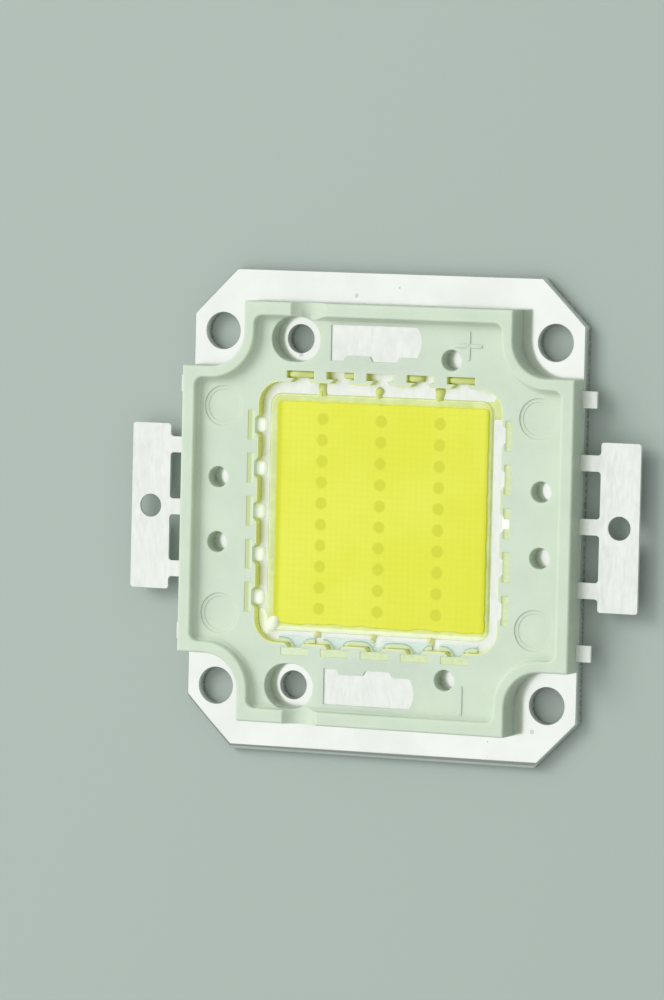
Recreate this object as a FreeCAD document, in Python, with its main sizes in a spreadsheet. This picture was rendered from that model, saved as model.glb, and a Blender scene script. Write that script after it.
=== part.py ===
import FreeCAD, Part
import os
import re
import Sketcher

# A high power LED array in millimetres: a plated metal base plate, two stamped lead frames
# moulded into a plastic housing, and series columns of LED dies under a square of phosphor
# silicone. The origin is the middle of the plate's underside, with +Z up through the light.
# The housing's rim, recess, T-shaped slots, windows and locking plugs follow the plate and leads.

SIZES = {
    # Base plate
    "plate_width": 40.0,
    "plate_length": 46.0,
    "plate_thick": 1.3,
    "plate_corner": 4.4,
    "plate_roll": 0.15,
    "plate_press": 0.8,
    "screw_pitch": 34.0,
    "screw_bore": 3.5,
    "side_hole_place": 8.9,
    "side_hole_pitch": 33.0,
    "side_hole_bore": 2.7,
    # Plugs of the moulding that lock it into the plate
    "plug_pitch_x": 32.0,
    "plug_pitch_y": 20.0,
    "plug_bore": 2.0,
    "plug_flare": 0.5,
    "plug_recess": 0.1,
    # Lead frames
    "lead_lift": 0.3,
    "lead_thick": 0.3,
    "rail_opening": 22.5,
    "rail_width": 2.7,
    "rail_radius": 1.1,
    "rail_gap": 1.6,
    "leg_pitch": 5.95,
    "leg_width": 1.55,
    "tab_span": 52.0,
    "tab_width": 4.0,
    "tab_length": 15.9,
    "tab_bore": 2.2,
    "tab_radius": 0.3,
    "tie_place": 11.85,
    "tie_width": 1.6,
    "tie_left": 1.0,
    "tie_right": 1.5,
    # Housing
    "frame_side": 40.0,
    "floor_rise": 1.6,
    "rim_rise": 1.1,
    "rim_width": 1.33,
    "notch_side": 6.3,
    "notch_radius": 3.45,
    "notch_rim": 1.1,
    "recess_radius": 0.8,
    "recess_foot": 0.35,
    "opening_side": 24.8,
    "opening_radius": 2.2,
    # T-shaped slots in the housing's inner edge
    "slot_pitch": 4.1,
    "slot_bar_length": 2.8,
    "slot_bar_width": 0.7,
    "slot_neck_width": 1.4,
    "slot_neck_length": 0.4,
    "slot_mouth": 0.33,
    # Windows over the contact pads
    "window_left": 5.1,
    "window_right": 3.65,
    "window_inner": 14.6,
    "window_outer": 18.0,
    "window_bulge": 0.45,
    "window_depth": 0.15,
    "window_tooth": 0.5,
    "window_lap": 0.25,
    "first_tooth_left": 3.6,
    "first_tooth_right": 1.1,
    "last_tooth_left": 1.85,
    # Openings, marks and scoops in the housing
    "relief_length": 5.0,
    "relief_width": 4.3,
    "pin_bore": 2.0,
    "side_pin_x": 16.5,
    "side_pin_y": 3.1,
    "end_pin_x": 7.2,
    "end_pin_y": 15.05,
    "ejector_bore": 3.9,
    "ejector_inner": 3.2,
    "ejector_depth": 0.13,
    "ejector_step": 0.07,
    "ejector_x": 16.1,
    "ejector_y": 9.9,
    "scoop_radius": 2.0,
    "scoop_place": 7.1,
    "scoop_floor": 0.05,
    # LED dies and bond wires
    "die_side": 1.14,
    "die_thick": 0.15,
    "column_pitch": 6.0,
    "row_pitch": 2.0,
    "wire_thick": 0.05,
    "wire_foot": 0.35,
    "wire_slope": 0.25,
    "wire_rise": 0.3,
    # Silicone
    "dam_side": 22.3,
    "dam_wall": 0.5,
    "dam_radius": 1.0,
    "fill_rise": 1.1,
    "bead_radius": 0.45,
    "overflow_start": 0.45,
    "overflow_rise": 0.25,
    "overflow_gap": 0.05,
    "slot_fill_rise": 0.8,
}
SLOTS_PER_SIDE = 5
COLUMNS = 3
ROWS = 10

SIDES = {"positive": 1, "negative": -1}

doc = FreeCAD.newDocument("led_array")
sheet = doc.addObject("Spreadsheet::Sheet", "Sizes")
for row, (alias, size) in enumerate(SIZES.items(), start=1):
    sheet.set(f"A{row}", alias)
    sheet.set(f"B{row}", str(size))
    sheet.setAlias(f"B{row}", alias)
doc.recompute()


# Formulas: text with the sheet's names in it

def bound(formula):
    """The formula as the document's objects read it, with each name tied to its cell."""
    return re.sub(r"[a-z]\w*", lambda word: "Sizes." + word.group(), str(formula))


def value(formula):
    """The formula's present value."""
    return float(sheet.evalExpression(str(formula)))


PLATE_TOP = "plate_thick"
LEAD_TOP = "(plate_thick + lead_lift + lead_thick)"
FLOOR = "(plate_thick + floor_rise)"
RIM_TOP = "(plate_thick + floor_rise + rim_rise)"
RAIL_INNER = "(rail_opening / 2)"
RAIL_OUTER = "(rail_opening / 2 + rail_width)"
OPENING = "(opening_side / 2)"
NECK_END = "(opening_side / 2 + slot_neck_length)"
BAR_END = "(opening_side / 2 + slot_neck_length + slot_bar_width)"


# Sketches and features

def new_body(label):
    """An empty body that will be one of the written pieces."""
    body = doc.addObject("PartDesign::Body", label)
    body.Label = label
    return body


def origin_part(body, role):
    """One of the body's own origin planes or axes."""
    return next(item for item in body.Origin.OriginFeatures if item.Role == role)


def new_sketch(body, name, level, plane="XY_Plane"):
    """A sketch on an origin plane of the body, moved along the plane's normal."""
    sketch = body.newObject("Sketcher::SketchObject", name)
    sketch.AttachmentSupport = [(origin_part(body, plane), "")]
    sketch.MapMode = "FlatFace"
    sketch.setExpression("AttachmentOffset.Base.z", bound(level))
    return sketch


def drive(sketch, constraint, formula):
    """Adds a dimension to the sketch and ties it to its formula."""
    index = sketch.addConstraint(constraint)
    sketch.setExpression(f"Constraints[{index}]", bound(formula))


def pin(sketch, item, end, spot):
    """Dimensions one point of the sketch from the sketch's origin."""
    for kind, formula in zip(("DistanceX", "DistanceY"), spot):
        drive(sketch, Sketcher.Constraint(kind, -1, 1, item, end, value(formula)), formula)


def point(spot):
    """The spot's present place as a vector."""
    return FreeCAD.Vector(value(spot[0]), value(spot[1]), 0)


def draw_outline(sketch, spots):
    """Draws a closed outline of straight edges through the spots."""
    first = sketch.GeometryCount
    places = [point(spot) for spot in spots]
    for start, end in zip(places, places[1:] + places[:1]):
        sketch.addGeometry(Part.LineSegment(start, end), False)
    for index, spot in enumerate(spots):
        item = first + index
        after = first + (index + 1) % len(spots)
        sketch.addConstraint(Sketcher.Constraint("Coincident", item, 2, after, 1))
        pin(sketch, item, 1, spot)


def draw_box(sketch, left, right, low, high):
    """Draws a rectangle between four formulas."""
    draw_outline(sketch, [(left, low), (right, low), (right, high), (left, high)])


def draw_circle(sketch, middle, bore):
    """Draws a circle of the given bore."""
    radius = f"({bore}) / 2"
    item = sketch.addGeometry(Part.Circle(point(middle), FreeCAD.Vector(0, 0, 1), value(radius)), False)
    pin(sketch, item, 3, middle)
    drive(sketch, Sketcher.Constraint("Radius", item, value(radius)), radius)


def extrude(body, kind, sketch, name, length):
    """A pad or a pocket of the sketch."""
    feature = body.newObject("PartDesign::" + kind, name)
    feature.Profile = sketch
    feature.setExpression("Length", bound(length))
    body.Tip = feature
    return feature


def upright_edges(feature, spots):
    """Names of the feature's vertical edges that stand on one of the spots."""
    doc.recompute()
    places = [point(spot) for spot in spots]
    names = []
    for number, edge in enumerate(feature.Shape.Edges, start=1):
        start, end = edge.Vertexes[0].Point, edge.Vertexes[-1].Point
        flat = FreeCAD.Vector(start.x, start.y, 0)
        upright = abs(start.x - end.x) + abs(start.y - end.y) < 1e-6
        if upright and any(flat.distanceToPoint(place) < 1e-4 for place in places):
            names.append(f"Edge{number}")
    return names


def round_edges(body, feature, name, names, radius):
    """A fillet of the named edges."""
    fillet = body.newObject("PartDesign::Fillet", name)
    fillet.Base = (feature, names)
    fillet.setExpression("Radius", bound(radius))
    body.Tip = fillet
    return fillet


def round_uprights(body, feature, name, spots, radius):
    """A fillet of the vertical edges on the spots."""
    return round_edges(body, feature, name, upright_edges(feature, spots), radius)


def bevel_edges(body, feature, name, names, size):
    """A chamfer of the named edges."""
    chamfer = body.newObject("PartDesign::Chamfer", name)
    chamfer.Base = (feature, names)
    chamfer.setExpression("Size", bound(size))
    body.Tip = chamfer
    return chamfer


def level_edges(feature, level):
    """The feature's edges, by name, whose ends lie at one height."""
    doc.recompute()
    height = value(level)
    return {
        f"Edge{number}": edge for number, edge in enumerate(feature.Shape.Edges, start=1)
        if all(abs(vertex.Z - height) < 1e-6 for vertex in edge.Vertexes)
    }


def mirror(body, features, name, plane):
    """The features once more on the other side of an origin plane."""
    mirrored = body.newObject("PartDesign::Mirrored", name)
    mirrored.Originals = features
    mirrored.MirrorPlane = (origin_part(body, plane), [""])
    body.Tip = mirrored
    return mirrored


def cut_by(label, base, tools):
    """The base piece with the room of its neighbours taken out."""
    group = doc.addObject("Part::Compound", label + "_neighbours")
    group.Links = tools
    cut = doc.addObject("Part::Cut", label)
    cut.Label = label
    cut.Base = base
    cut.Tool = group
    return cut


def four_ways(x, y):
    """The spot and its three mirror images."""
    return [(f"{sx} * ({x})", f"{sy} * ({y})") for sx in (-1, 1) for sy in (-1, 1)]


# Base plate

def base_plate():
    """A stamped plate with cut corners, pressed and rolled top edges and its holes."""
    body = new_body("base_plate")
    outline = new_sketch(body, "plate_outline", "0")
    side, end, cut = "plate_width / 2", "plate_length / 2", "plate_corner"
    draw_outline(outline, [
        (f"-({side})", f"-({end}) + {cut}"), (f"-({side}) + {cut}", f"-({end})"),
        (f"{side} - {cut}", f"-({end})"), (side, f"-({end}) + {cut}"),
        (side, f"{end} - {cut}"), (f"{side} - {cut}", end),
        (f"-({side}) + {cut}", end), (f"-({side})", f"{end} - {cut}"),
    ])
    blank = extrude(body, "Pad", outline, "plate_blank", "plate_thick")
    rim = level_edges(blank, PLATE_TOP)
    corner = point((f"-({side}) + {cut}", f"-({end})")) + FreeCAD.Vector(0, 0, value(PLATE_TOP))
    pressed = [
        name for name, edge in rim.items()
        if any(vertex.Point.distanceToPoint(corner) < 1e-6 for vertex in edge.Vertexes)
    ]
    rolled = round_edges(body, blank, "plate_pressed_edges", pressed, "plate_press")
    rim_lines = Part.Compound(list(rim.values()))
    crisp = [
        name for name, edge in level_edges(rolled, PLATE_TOP).items()
        if rim_lines.distToShape(Part.Vertex(edge.CenterOfMass))[0] < 1e-6
    ]
    round_edges(body, rolled, "plate_rolled_edges", crisp, "plate_roll")

    holes = new_sketch(body, "plate_holes_outline", PLATE_TOP)
    for spot in four_ways("screw_pitch / 2", "screw_pitch / 2"):
        draw_circle(holes, spot, "screw_bore")
    for sign in (1, -1):
        draw_circle(holes, ("-side_hole_place", f"{sign} * side_hole_pitch / 2"), "side_hole_bore")
    for spot in four_ways("plug_pitch_x / 2", "plug_pitch_y / 2"):
        draw_circle(holes, spot, "plug_bore")
    drilled = extrude(body, "Pocket", holes, "plate_holes", "plate_thick")
    doc.recompute()
    reach = value("plug_bore") / 2
    mouths = [
        f"Edge{number}" for number, edge in enumerate(drilled.Shape.Edges, start=1)
        if hasattr(edge.Curve, "Radius") and abs(edge.Curve.Radius - reach) < 1e-6
        and abs(edge.Vertexes[0].Z) < 1e-6
    ]
    bevel_edges(body, drilled, "plug_seats", mouths, "plug_flare")
    return body


# Lead frames

def lead_outline(near_tie, far_tie):
    """The outline of the lead frame whose solder tab lies at -X, as stamped."""
    tie_low, tie_high = "tie_place - tie_width / 2", "tie_place + tie_width / 2"
    near_end, far_end = f"-(frame_side / 2 + {near_tie})", f"frame_side / 2 + {far_tie}"
    tab_outer, tab_inner = "-(tab_span / 2)", "-(tab_span / 2) + tab_width"
    leg_edge = "(leg_pitch + leg_width / 2)"
    rail_end = f"-({RAIL_INNER}) + rail_gap"
    return [
        (RAIL_OUTER, RAIL_OUTER), (f"-{RAIL_OUTER}", RAIL_OUTER),
        (f"-{RAIL_OUTER}", tie_high), (near_end, tie_high),
        (near_end, tie_low), (f"-{RAIL_OUTER}", tie_low),
        (f"-{RAIL_OUTER}", leg_edge), (tab_inner, leg_edge),
        (tab_inner, "tab_length / 2"), (tab_outer, "tab_length / 2"),
        (tab_outer, "-tab_length / 2"), (tab_inner, "-tab_length / 2"),
        (tab_inner, f"-{leg_edge}"), (f"-{RAIL_OUTER}", f"-{leg_edge}"),
        (f"-{RAIL_OUTER}", rail_end), (f"-{RAIL_INNER}", rail_end),
        (f"-{RAIL_INNER}", RAIL_INNER), (RAIL_OUTER, RAIL_INNER),
        (RAIL_OUTER, tie_low), (far_end, tie_low),
        (far_end, tie_high), (RAIL_OUTER, tie_high),
    ]


def lead_frame(pole, near_tie, far_tie):
    """Two bonding rails in an L, three legs, a solder tab and the stubs of the tie bars."""
    body = new_body("lead_frame_" + pole)
    sketch = new_sketch(body, pole + "_lead_outline", "plate_thick + lead_lift")
    draw_outline(sketch, lead_outline(near_tie, far_tie))
    tab_inner = "-(tab_span / 2) + tab_width"
    leg_side = "leg_width / 2"
    for sign in (1, -1):
        draw_box(
            sketch, tab_inner, f"-{RAIL_OUTER}",
            f"{sign} * ({leg_side})", f"{sign} * (leg_pitch - {leg_side})",
        )
    draw_circle(sketch, ("-(tab_span / 2) + tab_width / 2", "0"), "tab_bore")
    blank = extrude(body, "Pad", sketch, pole + "_lead_blank", "lead_thick")
    corner = [(f"-{RAIL_INNER}", RAIL_INNER)]
    bent = round_uprights(body, blank, pole + "_rail_corner", corner, "rail_radius")
    leg_edges = [leg_side, f"leg_pitch - {leg_side}", f"leg_pitch + {leg_side}", "tab_length / 2"]
    roots = [(tab_inner, f"{sign} * ({edge})") for edge in leg_edges for sign in (1, -1)]
    roots += [("-(tab_span / 2)", f"{sign} * tab_length / 2") for sign in (1, -1)]
    round_uprights(body, bent, pole + "_leg_roots", roots, "tab_radius")
    return body


def contact_pad(pole):
    """A bent pad that stands on the rail and shows in the housing's window."""
    side = SIDES[pole]
    body = new_body("contact_pad_" + pole)
    profile = new_sketch(body, pole + "_pad_profile", "-(window_left + window_lap)", "YZ_Plane")
    pad_top = f"{FLOOR} - window_depth"
    foot, far = f"{RAIL_OUTER} - lead_thick", "window_outer + window_lap"
    draw_outline(profile, [(f"{side} * ({across})", up) for across, up in (
        (foot, LEAD_TOP), (RAIL_OUTER, LEAD_TOP),
        (RAIL_OUTER, f"{pad_top} - lead_thick"), (far, f"{pad_top} - lead_thick"),
        (far, pad_top), (foot, pad_top),
    )])
    width = "window_left + window_right + window_bulge + 2 * window_lap"
    extrude(body, "Pad", profile, pole + "_pad_strip", width)
    return body


# Housing

def housing_outline(side, notch):
    """A square outline with a square notch at each corner, from its half side and notch line."""
    return [
        (f"-({side})", f"-({notch})"), (f"-({notch})", f"-({notch})"), (f"-({notch})", f"-({side})"),
        (notch, f"-({side})"), (notch, f"-({notch})"), (side, f"-({notch})"),
        (side, notch), (notch, notch), (notch, side),
        (f"-({notch})", side), (f"-({notch})", notch), (f"-({side})", notch),
    ]


def housing_shell(body):
    """The housing's block with its raised rim, recessed floor and square light opening."""
    half, notch = "frame_side / 2", "frame_side / 2 - notch_side"
    outline = new_sketch(body, "housing_outline", PLATE_TOP)
    draw_outline(outline, housing_outline(half, notch))
    block = extrude(body, "Pad", outline, "housing_block", "floor_rise + rim_rise")
    block = round_uprights(body, block, "screw_reliefs", four_ways(notch, notch), "notch_radius")

    inner, inner_notch = f"{half} - rim_width", f"{notch} - notch_rim"
    recess = new_sketch(body, "recess_outline", RIM_TOP)
    draw_outline(recess, housing_outline(inner, inner_notch))
    sunk = extrude(body, "Pocket", recess, "recess", "rim_rise")
    bends = four_ways(inner_notch, inner_notch)
    sunk = round_uprights(body, sunk, "recess_bends", bends, "notch_radius + notch_rim")
    corners = four_ways(inner, inner_notch) + four_ways(inner_notch, inner)
    sunk = round_uprights(body, sunk, "recess_corners", corners, "recess_radius")
    bevel_edges(body, sunk, "recess_foot", list(level_edges(sunk, FLOOR)), "recess_foot")

    opening = new_sketch(body, "opening_outline", FLOOR)
    draw_box(opening, f"-{OPENING}", OPENING, f"-{OPENING}", OPENING)
    open_part = extrude(body, "Pocket", opening, "light_opening", f"{FLOOR} - {LEAD_TOP}")
    round_uprights(body, open_part, "opening_corners", four_ways(OPENING, OPENING), "opening_radius")

    seat = new_sketch(body, "seat_outline", LEAD_TOP)
    draw_box(seat, f"-{RAIL_INNER}", RAIL_INNER, f"-{RAIL_INNER}", RAIL_INNER)
    seat_part = extrude(body, "Pocket", seat, "light_seat", "lead_lift + lead_thick")
    round_uprights(body, seat_part, "seat_corners", four_ways(RAIL_INNER, RAIL_INNER), "rail_radius")


def housing_slots(body):
    """Five T-shaped slots in each inner edge, with bevelled mouths."""
    necks = new_sketch(body, "slot_necks_outline", FLOOR)
    bars = new_sketch(body, "slot_bars_outline", FLOOR)
    mouths = []
    for number in range(SLOTS_PER_SIDE):
        middle = f"{number - (SLOTS_PER_SIDE - 1) / 2} * slot_pitch"
        neck = (f"{middle} - slot_neck_width / 2", f"{middle} + slot_neck_width / 2")
        draw_box(necks, *neck, f"{OPENING} - slot_neck_length", NECK_END)
        bar = (f"{middle} - slot_bar_length / 2", f"{middle} + slot_bar_length / 2")
        draw_box(bars, *bar, NECK_END, BAR_END)
        mouths += neck
    depth = f"{FLOOR} - {LEAD_TOP}"
    neck_cut = extrude(body, "Pocket", necks, "slot_necks", depth)
    bar_cut = extrude(body, "Pocket", bars, "slot_bars", depth)
    around = body.newObject("PartDesign::PolarPattern", "slots_around")
    around.Originals = [neck_cut, bar_cut]
    around.Axis = (origin_part(body, "Z_Axis"), [""])
    around.Angle = 360
    around.Occurrences = 4
    body.Tip = around
    spots = []
    for mouth in mouths:
        spots += [(mouth, OPENING), (mouth, f"-{OPENING}"), (OPENING, mouth), (f"-{OPENING}", mouth)]
    bevel_edges(body, around, "slot_mouths", upright_edges(around, spots), "slot_mouth")


def draw_window(sketch):
    """A window with two teeth on its inner edge and one bulging end."""
    tooth = "window_inner + window_tooth"
    spots = [
        ("window_right", "window_outer"), ("-window_left", "window_outer"),
        ("-window_left", "window_inner"), ("-first_tooth_left - window_tooth / 2", "window_inner"),
        ("-first_tooth_left", tooth), ("-first_tooth_right", tooth),
        ("-first_tooth_right + window_tooth / 2", "window_inner"),
        ("last_tooth_left - window_tooth / 2", "window_inner"),
        ("last_tooth_left", tooth), ("window_right", tooth),
    ]
    places = [point(spot) for spot in spots]
    for start, end in zip(places, places[1:]):
        sketch.addGeometry(Part.LineSegment(start, end), False)
    for index in range(len(spots) - 2):
        sketch.addConstraint(Sketcher.Constraint("Coincident", index, 2, index + 1, 1))
    for index, spot in enumerate(spots[:-1]):
        pin(sketch, index, 1, spot)
    last = len(spots) - 2
    pin(sketch, last, 2, spots[-1])
    chord = f"(window_outer - ({tooth}))"
    radius = f"({chord} * {chord} / 4 + window_bulge * window_bulge) / (2 * window_bulge)"
    crest = FreeCAD.Vector(places[0].x + value("window_bulge"), (places[0].y + places[-1].y) / 2, 0)
    arc = sketch.addGeometry(Part.Arc(places[-1], crest, places[0]), False)
    sketch.addConstraint(Sketcher.Constraint("Coincident", arc, 1, last, 2))
    sketch.addConstraint(Sketcher.Constraint("Coincident", arc, 2, 0, 1))
    drive(sketch, Sketcher.Constraint("Radius", arc, value(radius)), radius)


def draw_relief(sketch):
    """The slot that clears a screw head over one of the plate's side holes."""
    left = "-side_hole_place - relief_width / 2 - (relief_length - relief_width) / 4"
    middle, radius = "side_hole_pitch / 2", "relief_width / 2"
    near, far = f"{left} + {radius}", f"{left} + relief_length - {radius}"
    low, high = point((near, f"{middle} - {radius}")), point((near, f"{middle} + {radius}"))
    low_far, high_far = point((far, f"{middle} - {radius}")), point((far, f"{middle} + {radius}"))
    step = FreeCAD.Vector(value(radius), 0, 0)
    near_end = Part.Arc(high, (low + high) / 2 - step, low)
    far_end = Part.Arc(low_far, (low_far + high_far) / 2 + step, high_far)
    sides = Part.LineSegment(low, low_far), Part.LineSegment(high_far, high)
    chain = [sketch.addGeometry(item, False) for item in (near_end, sides[0], far_end, sides[1])]
    for item, after in zip(chain, chain[1:] + chain[:1]):
        sketch.addConstraint(Sketcher.Constraint("Tangent", item, 2, after, 1))
    pin(sketch, chain[0], 3, (near, middle))
    drive(sketch, Sketcher.Constraint("Radius", chain[0], value(radius)), radius)
    drive(sketch, Sketcher.Constraint("DistanceX", -1, 1, chain[2], 3, value(far)), far)


def housing_openings(body):
    """Windows, screw head slots and rim scoops on both ends, and the holes of the mould's pins."""
    window = new_sketch(body, "window_outline", FLOOR)
    draw_window(window)
    window_cut = extrude(body, "Pocket", window, "window", "window_depth")
    relief = new_sketch(body, "relief_outline", RIM_TOP)
    draw_relief(relief)
    relief_cut = extrude(body, "Pocket", relief, "screw_head_slot", "floor_rise + rim_rise")
    wall = "rim_width + recess_foot"
    scoop = new_sketch(body, "scoop_outline", f"-(frame_side / 2 - ({wall}))", "XZ_Plane")
    draw_circle(scoop, ("-scoop_place", f"{FLOOR} + scoop_floor + scoop_radius"), "2 * scoop_radius")
    scoop_cut = extrude(body, "Pocket", scoop, "rim_scoop", wall)
    mirror(body, [window_cut, relief_cut, scoop_cut], "other_end", "XZ_Plane")

    pins = new_sketch(body, "mould_pins_outline", FLOOR)
    for spot in four_ways("side_pin_x", "side_pin_y"):
        draw_circle(pins, spot, "pin_bore")
    for sign in (1, -1):
        draw_circle(pins, ("end_pin_x", f"{sign} * end_pin_y"), "pin_bore")
    extrude(body, "Pocket", pins, "mould_pin_holes", "floor_rise")
    for name, bore, depth in (
        ("ejector_marks", "ejector_bore", "ejector_depth"),
        ("ejector_centres", "ejector_inner", "ejector_depth + ejector_step"),
    ):
        marks = new_sketch(body, name + "_outline", FLOOR)
        for spot in four_ways("ejector_x", "ejector_y"):
            draw_circle(marks, spot, bore)
        extrude(body, "Pocket", marks, name, depth)


def housing_plugs(body):
    """Four plugs that fill the plate's flared holes and hold the moulding down."""
    for name, level, length, taper in (
        ("plug_stems", PLATE_TOP, "plate_thick - plug_flare", 0),
        ("plug_heads", "plug_flare", "plug_flare - plug_recess", 45),
    ):
        outline = new_sketch(body, name + "_outline", level)
        for spot in four_ways("plug_pitch_x / 2", "plug_pitch_y / 2"):
            draw_circle(outline, spot, "plug_bore")
        plugs = extrude(body, "Pad", outline, name, length)
        plugs.Reversed = True
        plugs.TaperAngle = taper


def housing_moulding():
    """The whole moulding, before the room of the metal inserts is taken out."""
    body = new_body("housing_moulding")
    housing_shell(body)
    housing_plugs(body)
    housing_slots(body)
    housing_openings(body)
    return body


# LED dies and bond wires

def column_place(column):
    """The X formula of a column of dies, counted from 1."""
    return f"{column - (COLUMNS + 1) / 2} * column_pitch"


def row_place(row):
    """The Y formula of a row of dies, counted from 1."""
    return f"{row - (ROWS + 1) / 2} * row_pitch"


def led_die(column, row):
    """One square die on the plate."""
    label = f"led_die_{column}_{row}"
    die = doc.addObject("Part::Box", label)
    die.Label = label
    die.setExpression("Length", bound("die_side"))
    die.setExpression("Width", bound("die_side"))
    die.setExpression("Height", bound("die_thick"))
    die.setExpression("Placement.Base.x", bound(f"{column_place(column)} - die_side / 2"))
    die.setExpression("Placement.Base.y", bound(f"{row_place(row)} - die_side / 2"))
    die.setExpression("Placement.Base.z", bound(PLATE_TOP))
    return die


def wire_loop(x, start, end):
    """A thin wire that rises from one bond, runs level and comes down on the next."""
    slope = value("wire_slope") * (1 if end[0] > start[0] else -1)
    crest = max(start[1], end[1]) + value("wire_rise")
    under = [start, (start[0] + slope, crest), (end[0] - slope, crest), end]
    over = [(y, z + value("wire_thick")) for y, z in reversed(under)]
    corners = [FreeCAD.Vector(x, y, z) for y, z in under + over]
    face = Part.Face(Part.makePolygon(corners + corners[:1]))
    return face.extrude(FreeCAD.Vector(value("wire_thick"), 0, 0))


def bond_wires(column):
    """A column's bond wires: one from each die to the next, and one to a rail at each end."""
    die_top = value("plate_thick + die_thick")
    landing = (value(f"({RAIL_INNER} + {OPENING}) / 2"), value(LEAD_TOP))
    foot = value("wire_foot")
    rows = [value(row_place(row)) for row in range(1, ROWS + 1)]
    spans = [((low + foot, die_top), (high - foot, die_top)) for low, high in zip(rows, rows[1:])]
    spans.append(((rows[-1] + foot, die_top), landing))
    spans.append(((rows[0] - foot, die_top), (-landing[0], landing[1])))
    edge = value(f"{column_place(column)} - wire_thick / 2")
    label = f"bond_wires_{column}"
    feature = doc.addObject("Part::Feature", label)
    feature.Label = label
    feature.Shape = Part.Compound([wire_loop(edge, start, end) for start, end in spans])
    return feature


# Silicone

def silicone_block(label, outer, inner=None):
    """A square of silicone on the plate, or a square ring when an inner size is given."""
    body = new_body(label)
    sketch = new_sketch(body, label + "_outline", PLATE_TOP)
    draw_box(sketch, f"-({outer}) / 2", f"({outer}) / 2", f"-({outer}) / 2", f"({outer}) / 2")
    if inner:
        draw_box(sketch, f"-({inner}) / 2", f"({inner}) / 2", f"-({inner}) / 2", f"({inner}) / 2")
    feature = extrude(body, "Pad", sketch, label + "_pour", "fill_rise")
    return body, feature


def phosphor_fill(dies, wires):
    """The yellow square, poured round the dies and wires."""
    side = "dam_side - 2 * dam_wall"
    body, pour = silicone_block("phosphor_pour", side)
    corners = four_ways(f"({side}) / 2", f"({side}) / 2")
    round_uprights(body, pour, "phosphor_corners", corners, "dam_radius - dam_wall")
    return cut_by("phosphor_fill", body, dies + wires)


def silicone_dam(wires):
    """The clear wall round the phosphor."""
    inner = "dam_side - 2 * dam_wall"
    body, pour = silicone_block("dam_pour", "dam_side", inner)
    corners = four_ways("dam_side / 2", "dam_side / 2")
    outside = round_uprights(body, pour, "dam_outer_corners", corners, "dam_radius")
    corners = four_ways(f"({inner}) / 2", f"({inner}) / 2")
    round_uprights(body, outside, "dam_inner_corners", corners, "dam_radius - dam_wall")
    return cut_by("silicone_dam", body, wires)


def wire_bead(column, end, wires):
    """A half-round bead of silicone over one end of a column's wires."""
    label = f"wire_bead_{'top' if end > 0 else 'bottom'}_{column}"
    drop = doc.addObject("Part::Cylinder", label + "_drop")
    drop.Angle = 180
    drop.setExpression("Radius", bound("bead_radius"))
    drop.setExpression("Height", bound("(opening_side - dam_side) / 2"))
    drop.Placement.Rotation = FreeCAD.Rotation(FreeCAD.Vector(1, 0, 0), 90)
    far = "opening_side / 2" if end > 0 else "-dam_side / 2"
    for axis, formula in zip("xyz", (column_place(column), far, LEAD_TOP)):
        drop.setExpression(f"Placement.Base.{axis}", bound(formula))
    return cut_by(label, drop, wires)


def overflow_outline():
    """A strip along the bottom rail with a finger in each T-shaped slot."""
    gap = "overflow_gap"
    edge, neck_end, bar_end = f"-{OPENING} + {gap}", f"-{NECK_END} - {gap}", f"-{BAR_END} + {gap}"
    near = f"-({RAIL_INNER} + overflow_start)"
    end = f"{OPENING} - opening_radius"
    spots = [(end, near), (f"-({end})", near), (f"-({end})", edge)]
    for number in range(SLOTS_PER_SIDE):
        middle = f"{number - (SLOTS_PER_SIDE - 1) / 2} * slot_pitch"
        neck, bar = f"(slot_neck_width / 2 - {gap})", f"(slot_bar_length / 2 - {gap})"
        spots += [
            (f"{middle} - {neck}", edge), (f"{middle} - {neck}", neck_end),
            (f"{middle} - {bar}", neck_end), (f"{middle} - {bar}", bar_end),
            (f"{middle} + {bar}", bar_end), (f"{middle} + {bar}", neck_end),
            (f"{middle} + {neck}", neck_end), (f"{middle} + {neck}", edge),
        ]
    spots.append((end, edge))
    return spots


def silicone_overflow(beads):
    """Silicone that ran over the bottom rail and filled the slots' bars on three sides."""
    body = new_body("overflow_pour")
    body.AllowCompound = True
    sketch = new_sketch(body, "overflow_outline", LEAD_TOP)
    draw_outline(sketch, overflow_outline())
    extrude(body, "Pad", sketch, "overflow_film", "overflow_rise")
    fills = new_sketch(body, "slot_fill_outline", LEAD_TOP)
    near, far = f"{NECK_END} + overflow_gap", f"{BAR_END} - overflow_gap"
    for number in range(SLOTS_PER_SIDE):
        middle = f"{number - (SLOTS_PER_SIDE - 1) / 2} * slot_pitch"
        half = "(slot_bar_length / 2 - overflow_gap)"
        along = (f"{middle} - {half}", f"{middle} + {half}")
        draw_box(fills, near, far, *along)
        draw_box(fills, f"-({far})", f"-({near})", *along)
        draw_box(fills, *along, f"-({far})", f"-({near})")
    extrude(body, "Pad", fills, "slot_fillings", "slot_fill_rise")
    return cut_by("silicone_overflow", body, beads)


# The whole array

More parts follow.
